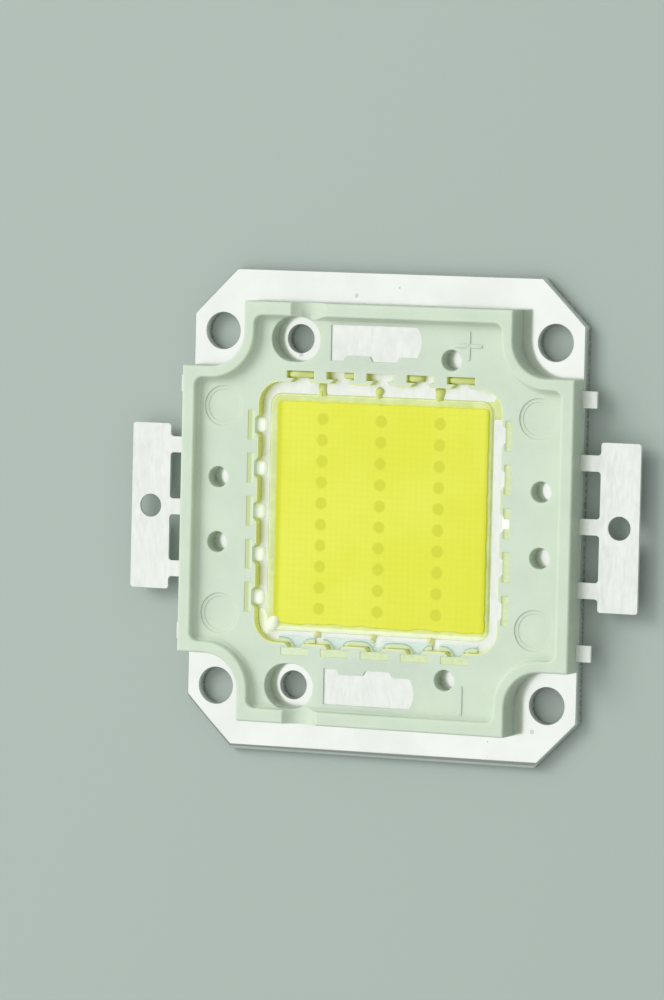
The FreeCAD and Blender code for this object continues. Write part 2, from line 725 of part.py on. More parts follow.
plate = base_plate()
positive = lead_frame("positive", "tie_left", "tie_right")
negative = lead_frame("negative", "tie_right", "tie_left")
negative.Placement = FreeCAD.Placement(FreeCAD.Vector(), FreeCAD.Rotation(FreeCAD.Vector(0, 0, 1), 180))
pads = [contact_pad(pole) for pole in SIDES]
housing = cut_by("housing_frame", housing_moulding(), [positive, negative] + pads)
dies = [led_die(column, row) for column in range(1, COLUMNS + 1) for row in range(1, ROWS + 1)]
wires = [bond_wires(column) for column in range(1, COLUMNS + 1)]
top_beads = [wire_bead(column, 1, wires) for column in range(1, COLUMNS + 1)]
bottom_beads = [wire_bead(column, -1, wires) for column in range(1, COLUMNS + 1)]
silicone = [phosphor_fill(dies, wires), silicone_dam(wires), silicone_overflow(bottom_beads + wires)]
pieces = [plate, positive, negative, *pads, housing, *dies, *wires, *top_beads, *bottom_beads, *silicone]
doc.recompute()

for item in doc.Objects:
    if "Invalid" in item.State or "Error" in item.State:
        raise RuntimeError(f"{item.Label} failed: {item.State}")
    if item.isDerivedFrom("PartDesign::Pocket"):
        if item.Shape.Volume >= item.BaseFeature.Shape.Volume - 1e-6:
            raise RuntimeError(f"{item.Label} cuts nothing")

os.makedirs("parts", exist_ok=True)
for piece in pieces:
    if piece.Shape.isNull() or not piece.Shape.isValid():
        raise RuntimeError(f"{piece.Label} has no valid shape")
    piece.Shape.exportStep(f"parts/{piece.Label}.step")
    print(piece.Label, len(piece.Shape.Solids), round(piece.Shape.Volume, 3))
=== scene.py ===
"""Dresses a square high power LED light source for a studio picture.

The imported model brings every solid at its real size. This script gives each of them its finish, rounds
the edges of the stamped and moulded pieces, and makes the soft forms that were poured or dripped in
place: the yellow field, the clear border round it, the beads on the wires, and the drops and pools.
Lengths are in metres, +X runs from one solder tab to the other and +Z out of the lit face.
"""

import logging
import math
from collections.abc import Callable, Sequence
from dataclasses import dataclass
from enum import Enum
from typing import ClassVar

import bmesh
import bpy
import numpy as np
from mathutils import Matrix, Vector


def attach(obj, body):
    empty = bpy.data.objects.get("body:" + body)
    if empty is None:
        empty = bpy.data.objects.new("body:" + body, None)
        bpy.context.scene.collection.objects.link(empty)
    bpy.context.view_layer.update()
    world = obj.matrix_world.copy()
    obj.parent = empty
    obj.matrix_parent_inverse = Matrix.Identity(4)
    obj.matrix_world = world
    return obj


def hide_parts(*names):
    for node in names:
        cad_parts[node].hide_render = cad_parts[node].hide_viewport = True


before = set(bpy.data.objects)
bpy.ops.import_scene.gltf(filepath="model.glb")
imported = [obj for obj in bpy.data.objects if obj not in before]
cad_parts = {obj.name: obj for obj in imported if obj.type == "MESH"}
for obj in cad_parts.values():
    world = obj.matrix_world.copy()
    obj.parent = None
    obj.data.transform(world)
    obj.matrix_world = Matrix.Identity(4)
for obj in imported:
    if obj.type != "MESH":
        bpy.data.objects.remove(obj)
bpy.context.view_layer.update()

MM = 0.001
BODY = "root"
LOG = logging.getLogger("led_array")

FLOOR_LEVEL = 2.9 * MM
LEAD_TOP = 1.9 * MM
SLOT_PITCH = 4.1 * MM
COLUMN_PITCH = 6.0 * MM

Colour = tuple[float, float, float]
EdgeShares = Callable[[np.ndarray, np.ndarray], np.ndarray]
# What a node gives, and what may feed an input: an output, a number, a colour or a vector
Output = bpy.types.NodeSocket
Feed = Output | float | Sequence[float]


def srgb(red: int, green: int, blue: int) -> Colour:
    """Turns a screen colour into the linear one that shaders use.

    Args:
        red: Red from 0 to 255.
        green: Green from 0 to 255.
        blue: Blue from 0 to 255.

    Returns:
        The three linear values.
    """
    shares = np.array([red, green, blue]) / 255
    linear = np.where(shares <= 0.04045, shares / 12.92, ((shares + 0.055) / 1.055) ** 2.4)
    return tuple(float(share) for share in linear)


# Shader trees

# Noise seldom leaves this range
GRAIN_SPAN = (0.3, 0.7)


class ShaderTree:
    """Adds nodes to one node tree and joins them."""

    def __init__(self, tree: bpy.types.NodeTree) -> None:
        """Keeps the tree.

        Args:
            tree: A material's tree or a group.
        """
        self.tree = tree

    def add(self, kind: str, inputs: dict | None = None, **settings) -> bpy.types.Node:
        """Adds a node.

        Args:
            kind: The node's type name.
            inputs: Socket name or number to a value or to the socket that feeds it.
            **settings: The node's own properties.

        Returns:
            The new node.
        """
        node = self.tree.nodes.new(kind)
        for name, choice in settings.items():
            setattr(node, name, choice)
        self.fill(node, inputs or {})
        return node

    def fill(self, node: bpy.types.Node, inputs: dict) -> None:
        """Feeds several inputs of a node.

        Args:
            node: The node.
            inputs: Socket name or number to a value or to the socket that feeds it.
        """
        for key, source in inputs.items():
            self.feed(node.inputs[key], source)

    def feed(self, socket: bpy.types.NodeSocket, source: Feed) -> None:
        """Links a socket, or sets its value.

        Args:
            socket: The input to feed.
            source: Another socket, or a plain value.
        """
        if isinstance(source, bpy.types.NodeSocket):
            self.tree.links.new(source, socket)
        elif socket.type == "RGBA" and len(source) == 3:
            socket.default_value = (*source, 1.0)
        else:
            socket.default_value = source

    def math(self, operation: str, *sources: Feed) -> Output:
        """Adds a Math node and returns its output."""
        return self.add("ShaderNodeMath", dict(enumerate(sources)), operation=operation).outputs[0]

    def ramp(self, source: Feed, low: float, high: float, start: float = 0.0,
             end: float = 1.0) -> Output:
        """Maps a range of a value onto another range, smoothly and without overshoot.

        Args:
            source: The value's socket.
            low: The value that gives start.
            high: The value that gives end.
            start: The first result.
            end: The last result.

        Returns:
            The result's socket.
        """
        inputs = {"Value": source, "From Min": low, "From Max": high, "To Min": start, "To Max": end}
        return self.add("ShaderNodeMapRange", inputs, interpolation_type="SMOOTHSTEP").outputs[0]

    def blend(self, share: Feed, first: Feed, second: Feed) -> Output:
        """Mixes two colours. The node's sockets for colours have the numbers 6 and 7, and 2 gives the mix.

        Args:
            share: How much of the second, from 0 to 1.
            first: The first colour or its socket.
            second: The second colour or its socket.

        Returns:
            The mixed colour's socket.
        """
        return self.add("ShaderNodeMix", {0: share, 6: first, 7: second}, data_type="RGBA").outputs[2]

    def place(self) -> Output:
        """Returns the Object coordinates."""
        return self.add("ShaderNodeTexCoord").outputs["Object"]

    def split(self, vector: Feed) -> list[Output]:
        """Returns a vector's X, Y and Z sockets."""
        return list(self.add("ShaderNodeSeparateXYZ", {0: vector}).outputs)

    def bump(self, height: Feed, distance: float, normal: Feed | None = None) -> Output:
        """Turns a height into a normal.

        Args:
            height: The height's socket, from 0 to 1.
            distance: The height of 1, in metres.
            normal: A normal to build on.

        Returns:
            The normal's socket.
        """
        inputs = {"Height": height, "Distance": distance, "Strength": 1.0}
        if normal is not None:
            inputs["Normal"] = normal
        return self.add("ShaderNodeBump", inputs).outputs[0]

    def effect(self, effect: "Effect", inputs: dict) -> dict[str, Output]:
        """Places a shared effect.

        Args:
            effect: The effect to place.
            inputs: Its inputs by name.

        Returns:
            Its outputs by name.
        """
        node = self.add("ShaderNodeGroup", inputs, node_tree=effect.group())
        return {socket.name: socket for socket in node.outputs}

    def mottle(self, place: Feed, scale: float, first: Feed, second: Feed) -> dict[str, Output]:
        """Places Cloud and returns its Colour and Share."""
        return self.effect(Cloud(), {"Vector": place, "Scale": scale, "First": first, "Second": second})

    def grain(self, place: Feed, scale: float, stretch: Feed = (1.0, 1.0, 1.0)) -> Output:
        """Places Grain and returns its height."""
        return self.effect(Grain(), {"Vector": place, "Stretch": stretch, "Scale": scale})["Height"]

    def specks(self, place: Feed, scale: float, radius: float, share: float) -> Output:
        """Places Specks and returns its mask."""
        inputs = {"Vector": place, "Scale": scale, "Radius": radius, "Share": share}
        return self.effect(Specks(), inputs)["Mask"]

    def upright(self) -> Output:
        """Places Upright and returns its mask."""
        return self.effect(Upright(), {})["Mask"]

    def reach(self, place: Feed) -> Output:
        """Places Square and returns how far out a point lies."""
        return self.effect(Square(), {"Vector": place})["Reach"]


class Socket(Enum):
    """The kinds of input and output of a shared effect."""

    NUMBER = "NodeSocketFloat"
    COLOUR = "NodeSocketColor"
    VECTOR = "NodeSocketVector"


class Effect:
    """A shader group that more than one finish uses, built at its first use."""

    label = ""
    takes: dict[str, Socket] = {}
    gives: dict[str, Socket] = {}

    def group(self) -> bpy.types.NodeTree:
        """Returns the group.

        Returns:
            The node group with its sockets and nodes.
        """
        found = bpy.data.node_groups.get(self.label)
        if found:
            return found
        tree = bpy.data.node_groups.new(self.label, "ShaderNodeTree")
        for name, kind in self.takes.items():
            tree.interface.new_socket(name, in_out="INPUT", socket_type=kind.value)
        for name, kind in self.gives.items():
            tree.interface.new_socket(name, in_out="OUTPUT", socket_type=kind.value)
        shader = ShaderTree(tree)
        sources = {socket.name: socket for socket in shader.add("NodeGroupInput").outputs if socket.name}
        results = self.make(shader, sources)
        end = shader.add("NodeGroupOutput")
        shader.fill(end, results)
        return tree

    def make(self, shader: ShaderTree, given: dict) -> dict:
        """Builds the nodes.

        Args:
            shader: The group's tree.
            given: The group's inputs by name.

        Returns:
            The sockets for the group's outputs by name.
        """
        raise NotImplementedError


class Cloud(Effect):
    """A soft mottle between two colours: noise of a given size picks the share of the second."""

    label = "cloud"
    takes = {"Vector": Socket.VECTOR, "Scale": Socket.NUMBER, "First": Socket.COLOUR, "Second": Socket.COLOUR}
    gives = {"Colour": Socket.COLOUR, "Share": Socket.NUMBER}

    def make(self, shader: ShaderTree, given: dict) -> dict:
        """Builds the nodes, as Effect.make says."""
        noise = shader.add("ShaderNodeTexNoise", {"Vector": given["Vector"], "Scale": given["Scale"],
                                                  "Detail": 3.0, "Roughness": 0.55})
        share = shader.ramp(noise.outputs[0], *GRAIN_SPAN)
        return {"Colour": shader.blend(share, given["First"], given["Second"]), "Share": share}


class Grain(Effect):
    """A fine grain drawn out along one way: noise of coordinates that are stretched by a vector."""

    label = "grain"
    takes = {"Vector": Socket.VECTOR, "Stretch": Socket.VECTOR, "Scale": Socket.NUMBER}
    gives = {"Height": Socket.NUMBER}

    def make(self, shader: ShaderTree, given: dict) -> dict:
        """Builds the nodes, as Effect.make says."""
        drawn = shader.add("ShaderNodeVectorMath", {0: given["Vector"], 1: given["Stretch"]},
                           operation="MULTIPLY")
        noise = shader.add("ShaderNodeTexNoise", {"Vector": drawn.outputs[0], "Scale": given["Scale"],
                                                  "Detail": 4.0, "Roughness": 0.65})
        return {"Height": noise.outputs[0]}


class Specks(Effect):
    """Scattered dots: cells of a given size, each with a dot in the few that a second noise picks."""

    label = "specks"
    takes = {"Vector": Socket.VECTOR, "Scale": Socket.NUMBER, "Radius": Socket.NUMBER,
             "Share": Socket.NUMBER}
    gives = {"Mask": Socket.NUMBER}

    def make(self, shader: ShaderTree, given: dict) -> dict:
        """Builds the nodes, as Effect.make says."""
        cells = shader.add("ShaderNodeTexVoronoi", {"Vector": given["Vector"], "Scale": given["Scale"]})
        picked = shader.math("LESS_THAN", shader.split(cells.outputs["Color"])[0], given["Share"])
        dot = shader.math("LESS_THAN", cells.outputs["Distance"], given["Radius"])
        return {"Mask": shader.math("MULTIPLY", picked, dot)}


class Upright(Effect):
    """Tells walls from floors: 1 where the surface stands up, 0 where it lies level."""

    label = "upright"
    gives = {"Mask": Socket.NUMBER}

    def make(self, shader: ShaderTree, given: dict) -> dict:
        """Builds the nodes, as Effect.make says."""
        normal = shader.add("ShaderNodeNewGeometry").outputs["Normal"]
        lean = shader.math("ABSOLUTE", shader.split(normal)[2])
        return {"Mask": shader.ramp(lean, 0.85, 0.4)}


class Square(Effect):
    """How far a point lies from the middle of a square, as the larger of its two distances."""

    label = "square"
    takes = {"Vector": Socket.VECTOR}
    gives = {"Reach": Socket.NUMBER}

    def make(self, shader: ShaderTree, given: dict) -> dict:
        """Builds the nodes, as Effect.make says."""
        across, along, _ = shader.split(given["Vector"])
        reach = shader.math("MAXIMUM", shader.math("ABSOLUTE", across), shader.math("ABSOLUTE", along))
        return {"Reach": reach}


# Finishes

@dataclass(frozen=True)
class Finish:
    """One finish: its name, the record's slot that it stands for, and its main colour."""

    name: str
    slot: str
    colour: Colour

    def material(self) -> bpy.types.Material:
        """Returns the material, made at its first use.

        Returns:
            The material with its nodes.
        """
        found = bpy.data.materials.get(self.name)
        if found:
            return found
        material = bpy.data.materials.new(self.name)
        material.use_nodes = True
        material.node_tree.nodes.clear()
        shader = ShaderTree(material.node_tree)
        surface = shader.add("ShaderNodeBsdfPrincipled")
        end = shader.add("ShaderNodeOutputMaterial")
        shader.feed(end.inputs["Surface"], surface.outputs[0])
        shader.feed(surface.inputs["Base Color"], self.colour)
        self.dress(shader, surface)
        return material

    def dress(self, shader: ShaderTree, surface: bpy.types.Node) -> None:
        """Sets the surface up.

        Args:
            shader: The material's tree.
            surface: Its Principled node.
        """
        raise NotImplementedError


@dataclass(frozen=True)
class PlatedPlate(Finish):
    """Bright silver plating on a punched plate: a near mirror face and rougher sheared edges."""

    clouded: Colour
    torn: Colour
    mottle_scale: float = 160.0
    drawn_scale: float = 420.0
    torn_scale: float = 3600.0
    pit_scale: float = 900.0
    torn_from: float = 0.75 * MM
    torn_below: float = 0.45 * MM
    pit_radius: float = 0.2
    pit_share: float = 0.04
    pit_strength: float = 0.5
    edge_roughness: float = 0.16
    drawn_depth: float = 0.0012 * MM
    torn_depth: float = 0.05 * MM

    def dress(self, shader: ShaderTree, surface: bpy.types.Node) -> None:
        """Sets the surface up, as Finish.dress says."""
        place = shader.place()
        cloud = shader.mottle(place, self.mottle_scale, self.colour, self.clouded)
        drawn = shader.grain(place, self.drawn_scale, (1.0, 14.0, 4.0))
        torn = shader.grain(place, self.torn_scale, (1.0, 1.0, 0.35))
        pits = shader.specks(place, self.pit_scale, self.pit_radius, self.pit_share)
        wall = shader.upright()
        low = shader.ramp(shader.split(place)[2], self.torn_from, self.torn_below)
        shear = shader.math("MULTIPLY", shader.math("MULTIPLY", wall, low), shader.ramp(torn, 0.35, 0.6))
        worn = shader.math("ADD", shear, shader.math("MULTIPLY", pits, self.pit_strength))
        smooth = shader.ramp(cloud["Share"], 0.0, 1.0, 0.13, 0.2)
        fine = shader.bump(drawn, self.drawn_depth)
        shader.fill(surface, {
            "Base Color": shader.blend(worn, cloud["Colour"], self.torn),
            "Roughness": shader.math("ADD", smooth, shader.math("MULTIPLY", wall, self.edge_roughness)),
            "Normal": shader.bump(shader.math("MULTIPLY", torn, wall), self.torn_depth, fine),
            "Metallic": 1.0,
        })


@dataclass(frozen=True)
class PlatedLead(Finish):
    """Satin silver plating on the stamped leads, with a fine rolled grain."""

    shaded: Colour
    grain: tuple[float, float, float]
    mottle_scale: float = 420.0
    grain_scale: float = 1500.0
    grain_depth: float = 0.006 * MM

    def dress(self, shader: ShaderTree, surface: bpy.types.Node) -> None:
        """Sets the surface up, as Finish.dress says."""
        place = shader.place()
        drawn = shader.grain(place, self.grain_scale, self.grain)
        shader.fill(surface, {
            "Base Color": shader.mottle(place, self.mottle_scale, self.colour, self.shaded)["Colour"],
            "Roughness": shader.ramp(drawn, *GRAIN_SPAN, 0.36, 0.5),
            "Normal": shader.bump(drawn, self.grain_depth),
            "Metallic": 1.0,
        })


@dataclass(frozen=True)
class MouldedPlastic(Finish):
    """Pale heat-proof plastic: satin, faintly clouded, with tool lines on its walls, and yellow on the walls
    round the opening and slots that is partly phosphor bleed and partly painted yellow light from the field.
    """

    clouded: Colour
    bleed_and_painted_light: Colour
    bleed_and_light_reach: float
    lip_reach: float
    bend_place: float
    floor_level: float
    mottle_scale: float = 260.0
    speck_scale: float = 520.0
    speck_radius: float = 0.09
    speck_share: float = 0.1
    speck_strength: float = 0.25
    lip_strength: float = 0.75
    line_scale: float = 7000.0
    skin_scale: float = 2600.0
    line_depth: float = 0.035 * MM
    skin_depth: float = 0.012 * MM

    def dress(self, shader: ShaderTree, surface: bpy.types.Node) -> None:
        """Sets the surface up, as Finish.dress says."""
        place = shader.place()
        cloud = shader.mottle(place, self.mottle_scale, self.colour, self.clouded)
        specks = shader.specks(place, self.speck_scale, self.speck_radius, self.speck_share)
        lines = shader.grain(place, self.line_scale, (0.04, 0.04, 1.0))
        skin = shader.grain(place, self.skin_scale)
        wall = shader.upright()
        # Yellow on the walls round the opening and in the slots, below the floor: partly phosphor bleed,
        # partly painted yellow light that the field throws on walls in shade.
        reach = self.reach(shader, place)
        inside = shader.ramp(reach, self.bleed_and_light_reach, self.bleed_and_light_reach - 0.3 * MM)
        below = shader.ramp(shader.split(place)[2], self.floor_level + 0.1 * MM, self.floor_level + 0.02 * MM)
        lip = shader.ramp(reach, self.lip_reach + 0.05 * MM, self.lip_reach, 0.0, self.lip_strength)
        side = shader.math("MAXIMUM", shader.math("MULTIPLY", wall, inside), lip)
        dust = shader.math("MULTIPLY", specks, self.speck_strength)
        dusted = shader.blend(dust, cloud["Colour"], self.clouded)
        tooled = shader.math("MULTIPLY", lines, wall)
        shader.fill(surface, {
            "Base Color": shader.blend(shader.math("MULTIPLY", side, below), dusted, self.bleed_and_painted_light),
            "Roughness": shader.ramp(skin, *GRAIN_SPAN, 0.42, 0.55),
            "Normal": shader.bump(tooled, self.line_depth, shader.bump(skin, self.skin_depth)),
            "Subsurface Weight": 0.35,
            "Subsurface Radius": (1.0, 1.0, 0.8),
            "Subsurface Scale": 0.6 * MM,
        })

    def reach(self, shader: ShaderTree, place: Feed) -> Output:
        """How far out a point lies, measured so that the opening's round corners are one value.

        It is the distance past the corners' middles, with none counted inward, plus those middles' place.

        Args:
            shader: The material's tree.
            place: The Object coordinates.

        Returns:
            The value's socket.
        """
        squares = []
        for side in shader.split(place)[:2]:
            past = shader.math("SUBTRACT", shader.math("ABSOLUTE", side), self.bend_place)
            past = shader.math("MAXIMUM", past, 0.0)
            squares.append(shader.math("MULTIPLY", past, past))
        return shader.math("ADD", shader.math("SQRT", shader.math("ADD", *squares)), self.bend_place)


@dataclass(frozen=True)
class PhosphorField(Finish):
    """Yellow silicone: the dies show through as darker dots, and its rim is deeper in colour."""

    clouded: Colour
    rim: Colour
    dot: Colour
    half_side: float
    column_pitch: float
    row_pitch: float
    dot_radius: float
    mottle_scale: float = 130.0
    skin_scale: float = 900.0
    dot_wander: float = 0.16 * MM
    weave_pitch: float = 0.62 * MM
    weave_share: float = 0.1
    rim_strength: float = 0.7
    left_strength: float = 0.9
    dot_strength: float = 0.6
    skin_depth: float = 0.012 * MM
    weave_depth: float = 0.004 * MM

    def dress(self, shader: ShaderTree, surface: bpy.types.Node) -> None:
        """Sets the surface up, as Finish.dress says."""
        place = shader.place()
        across, along, _ = shader.split(place)
        cloud = shader.mottle(place, self.mottle_scale, self.colour, self.clouded)
        skin = shader.grain(place, self.skin_scale)
        reach = shader.reach(place)
        edge = shader.ramp(reach, self.half_side - 0.45 * MM, self.half_side, 0.0, self.rim_strength)
        left = shader.ramp(across, -self.half_side + 1.0 * MM, -self.half_side + 0.4 * MM, 0.0,
                           self.left_strength)
        spotted = shader.blend(self.spots(shader, across, along, skin), cloud["Colour"], self.dot)
        rimmed = shader.blend(shader.math("MAXIMUM", edge, left), spotted, self.rim)
        weave = self.weave(shader, across, along)
        shader.fill(surface, {
            "Base Color": shader.blend(shader.math("MULTIPLY", weave, self.weave_share), rimmed, self.rim),
            "Roughness": shader.ramp(skin, *GRAIN_SPAN, 0.3, 0.42),
            "Normal": shader.bump(weave, self.weave_depth, shader.bump(skin, self.skin_depth)),
            "Subsurface Weight": 0.15,
            "Subsurface Radius": (1.0, 0.9, 0.2),
            "Subsurface Scale": 0.5 * MM,
        })

    def spots(self, shader: ShaderTree, across: Feed, along: Feed, skin: Feed) -> Output:
        """The dots over the dies, from the distance to the nearest die, shaken by the skin's noise.

        Args:
            shader: The material's tree.
            across: The X socket.
            along: The Y socket.
            skin: The noise's socket.

        Returns:
            How strong the dot is at a point.
        """
        beside = shader.math("PINGPONG", across, self.column_pitch / 2)
        row = shader.math("PINGPONG", shader.math("ADD", along, self.row_pitch / 2), self.row_pitch / 2)
        squares = (shader.math("POWER", side, 2.0) for side in (beside, row))
        away = shader.math("SQRT", shader.math("ADD", *squares))
        shaken = shader.math("ADD", away, shader.math("MULTIPLY", skin, self.dot_wander))
        return shader.ramp(shaken, self.dot_radius + 0.2 * MM, self.dot_radius - 0.02 * MM, 0.0,
                           self.dot_strength)

    def weave(self, shader: ShaderTree, across: Feed, along: Feed) -> Output:
        """The faint crossed lines that the moulding film leaves, from two fine triangle waves.

        Args:
            shader: The material's tree.
            across: The X socket.
            along: The Y socket.

        Returns:
            A mask that is 1 on a line.
        """
        lines = (
            shader.ramp(shader.math("PINGPONG", side, self.weave_pitch / 2), 0.09 * MM, 0.02 * MM)
            for side in (across, along)
        )
        return shader.math("MAXIMUM", *lines)


@dataclass(frozen=True)
class ClearSilicone(Finish):
    """Silicone that lets some light through, clear or tinted.

    A weak glow stands for the light that comes out of it after a way inside; the stronger glow of the border
    and the pools is painted light that lifts them out of shade.
    """

    mottle_scale: ClassVar[float] = 700.0
    skin_scale: ClassVar[float] = 1400.0
    skin_depth: ClassVar[float] = 0.01 * MM
    thinned: ClassVar[float] = 0.92

    clouded: Colour
    solid: float
    rough: float
    glow: float

    def dress(self, shader: ShaderTree, surface: bpy.types.Node) -> None:
        """Sets the surface up, as Finish.dress says."""
        place = shader.place()
        cloud = shader.mottle(place, self.mottle_scale, self.colour, self.clouded)
        skin = shader.grain(place, self.skin_scale)
        shader.fill(surface, {
            "Base Color": cloud["Colour"],
            "Roughness": shader.ramp(skin, *GRAIN_SPAN, self.rough, self.rough + 0.1),
            "Normal": shader.bump(skin, self.skin_depth),
            "Alpha": shader.ramp(cloud["Share"], 0.0, 1.0, self.solid, self.solid * self.thinned),
            "Emission Color": cloud["Colour"],
            "Emission Strength": self.glow,
            "IOR": 1.41,
        })


@dataclass(frozen=True)
class BorderSilicone(ClearSilicone):
    """The border's silicone, tinted where it lies over the yellow and whiter along its -Y side.

    Its walls glow more than its level faces: painted light that lifts the walls out of shade.
    """

    tinted: Colour
    whiter: Colour
    level_dimming: float = 0.75
    white_from: float = -10.2 * MM
    white_full: float = -10.9 * MM
    tint_from: float = 11.0 * MM
    tint_full: float = 10.7 * MM
    tint_strength: float = 0.8

    def dress(self, shader: ShaderTree, surface: bpy.types.Node) -> None:
        """Sets the surface up, as Finish.dress says."""
        super().dress(shader, surface)
        place = shader.place()
        plain = surface.inputs["Base Color"].links[0].from_socket
        low = shader.ramp(shader.split(place)[1], self.white_from, self.white_full)
        inner = shader.ramp(shader.reach(place), self.tint_from, self.tint_full, 0.0, self.tint_strength)
        tinted = shader.blend(inner, shader.blend(low, plain, self.whiter), self.tinted)
        # Painted light: the walls glow fully and the level faces less, to lift the walls out of shade.
        dimmed = shader.blend(self.level_dimming, tinted, (0.0, 0.0, 0.0))
        shader.fill(surface, {
            "Base Color": tinted,
            "Emission Color": shader.blend(shader.upright(), dimmed, tinted),
            "Subsurface Weight": 0.4,
            "Subsurface Radius": (1.0, 1.0, 0.6),
            "Subsurface Scale": 0.5 * MM,
        })


@dataclass(frozen=True)
class PooledSilicone(ClearSilicone):
    """Silicone that is a thin clear film near the middle and lies deep and cloudy in the slots' far ends,
    with a painted shade line along a wall of each far end.
    """

    deep: Colour
    mottle_and_shade: Colour
    faded: Colour
    rimmed: Colour
    deep_reach: float
    pitch: float
    arch_half: float = 1.45 * MM
    arch_rise: float = 0.4 * MM
    arch_start: float = 11.97 * MM
    ridge_half: float = 0.07 * MM
    deep_scale: float = 2600.0
    lined_share: float = 0.35
    faded_share: float = 0.75
    shade_line_strength: float = 0.8
    rim_solid: float = 0.9
    ridge_solid: float = 0.55

    def dress(self, shader: ShaderTree, surface: bpy.types.Node) -> None:
        """Sets the surface up, as Finish.dress says."""
        super().dress(shader, surface)
        place = shader.place()
        across, along, _ = shader.split(place)
        film = {name: surface.inputs[name].links[0].from_socket for name in ("Base Color", "Alpha")}
        depth = shader.ramp(shader.reach(place), self.deep_reach - 0.1 * MM, self.deep_reach)
        cloud = shader.mottle(place, self.deep_scale, self.deep, self.colour)
        mottled = shader.blend(shader.math("MULTIPLY", cloud["Share"], self.lined_share), self.deep,
                               self.mottle_and_shade)
        left = shader.ramp(across, 0.0, -self.deep_reach, 0.0, self.faded_share)
        mottled = shader.blend(left, mottled, self.faded)
        # Painted shade: a darker line where a slot's wall shades the fill.
        line = shader.math("MULTIPLY", self.line(shader, across), self.shade_line_strength)
        rim, ridge = self.meniscus(shader, across, along)
        edged = shader.blend(rim, shader.blend(ridge, film["Base Color"], self.rimmed), self.deep)
        solid = shader.math("MAXIMUM", shader.math("MULTIPLY", rim, self.rim_solid), depth)
        solid = shader.math("MAXIMUM", solid, shader.math("MULTIPLY", ridge, self.ridge_solid))
        shader.fill(surface, {
            "Base Color": shader.blend(depth, edged, shader.blend(line, mottled, self.mottle_and_shade)),
            "Alpha": shader.math("MAXIMUM", film["Alpha"], solid),
        })

    def line(self, shader: ShaderTree, across: Feed) -> Output:
        """A painted shade line in a slot's far end, where its wall shades the fill: along its outer wall at
        -X, along its inner wall at +X.

        Args:
            shader: The material's tree.
            across: The X socket.

        Returns:
            A mask that is 1 on a line.
        """
        outer = shader.ramp(across, -self.deep_reach - 0.16 * MM, -self.deep_reach - 0.38 * MM)
        start = shader.ramp(across, self.deep_reach - 0.1 * MM, self.deep_reach)
        end = shader.ramp(across, self.deep_reach + 0.25 * MM, self.deep_reach + 0.1 * MM)
        return shader.math("ADD", outer, shader.math("MULTIPLY", start, end))

    def meniscus(self, shader: ShaderTree, across: Feed, along: Feed) -> tuple[Output, Output]:
        """The film's rise along the plastic between two slots, drawn as an arch.

        The arch is a fourth power of the distance to the middle between the slots, as a share of its half.

        Args:
            shader: The material's tree.
            across: The X socket.
            along: The Y socket.

        Returns:
            Masks of the cloudy rise and of the ridge before it.
        """
        offset = shader.math("PINGPONG", shader.math("ADD", across, self.pitch / 2), self.pitch / 2)
        arch = shader.math("POWER", shader.math("DIVIDE", offset, self.arch_half), 4.0)
        height = shader.math("MULTIPLY_ADD", arch, self.arch_rise, self.arch_start)
        past = shader.math("SUBTRACT", shader.math("MULTIPLY", along, -1.0), height)
        beside = shader.math("ABSOLUTE", shader.math("ADD", past, self.ridge_half))
        return shader.ramp(past, 0.0, 0.06 * MM), shader.ramp(beside, self.ridge_half, 0.02 * MM)


@dataclass(frozen=True)
class PlainSolid(Finish):
    """A finish for the small pieces under the silicone: one mottled colour."""

    clouded: Colour
    metal: float
    rough: float
    mottle_scale: float = 1500.0

    def dress(self, shader: ShaderTree, surface: bpy.types.Node) -> None:
        """Sets the surface up, as Finish.dress says."""
        cloud = shader.mottle(shader.place(), self.mottle_scale, self.colour, self.clouded)
        shader.fill(surface, {"Base Color": cloud["Colour"], "Metallic": self.metal, "Roughness": self.rough})


PLATE = PlatedPlate("bright_plated_plate", "plated_plate", (0.93, 0.94, 0.90), clouded=(0.87, 0.88, 0.84),
                    torn=(0.46, 0.49, 0.45))
LEAD = PlatedLead("satin_plated_leads", "plated_leads", (0.97, 0.98, 0.94), shaded=(0.93, 0.945, 0.90),
                  grain=(3.0, 0.6, 3.0))
# The plastic's yellow is partly bleed and partly painted yellow light, pale enough to show on walls in shade.
PLASTIC = MouldedPlastic("moulded_plastic", "housing_plastic", srgb(212, 223, 205),
                         clouded=srgb(207, 218, 200), bleed_and_painted_light=srgb(236, 239, 142), bleed_and_light_reach=13.75 * MM,
                         lip_reach=12.46 * MM, bend_place=10.2 * MM, floor_level=FLOOR_LEVEL)
FIELD = PhosphorField("phosphor_field", "phosphor_silicone", srgb(232, 233, 78), clouded=srgb(228, 228, 58),
                      rim=srgb(208, 210, 22), dot=srgb(205, 204, 30), half_side=10.9 * MM,
                      column_pitch=COLUMN_PITCH, row_pitch=2.0 * MM, dot_radius=0.56 * MM)
CLEAR = BorderSilicone("clear_border", "clear_silicone", srgb(209, 218, 168), clouded=srgb(205, 214, 156),
                       solid=1.0, rough=0.3, glow=0.45, tinted=srgb(216, 221, 118),
                       whiter=srgb(238, 243, 214))
FLOOD = PooledSilicone("silicone_overflow", "clear_silicone", srgb(222, 238, 234),
                       clouded=srgb(226, 240, 236), solid=0.28, rough=0.15, glow=0.12,
                       deep=srgb(204, 214, 170), mottle_and_shade=srgb(176, 187, 112), faded=srgb(205, 219, 194),
                       rimmed=srgb(140, 182, 172), deep_reach=12.82 * MM, pitch=SLOT_PITCH)
RESIDUE = ClearSilicone("slot_residue", "clear_silicone", srgb(206, 213, 152), clouded=srgb(190, 198, 118),
                        solid=0.97, rough=0.3, glow=0.12)
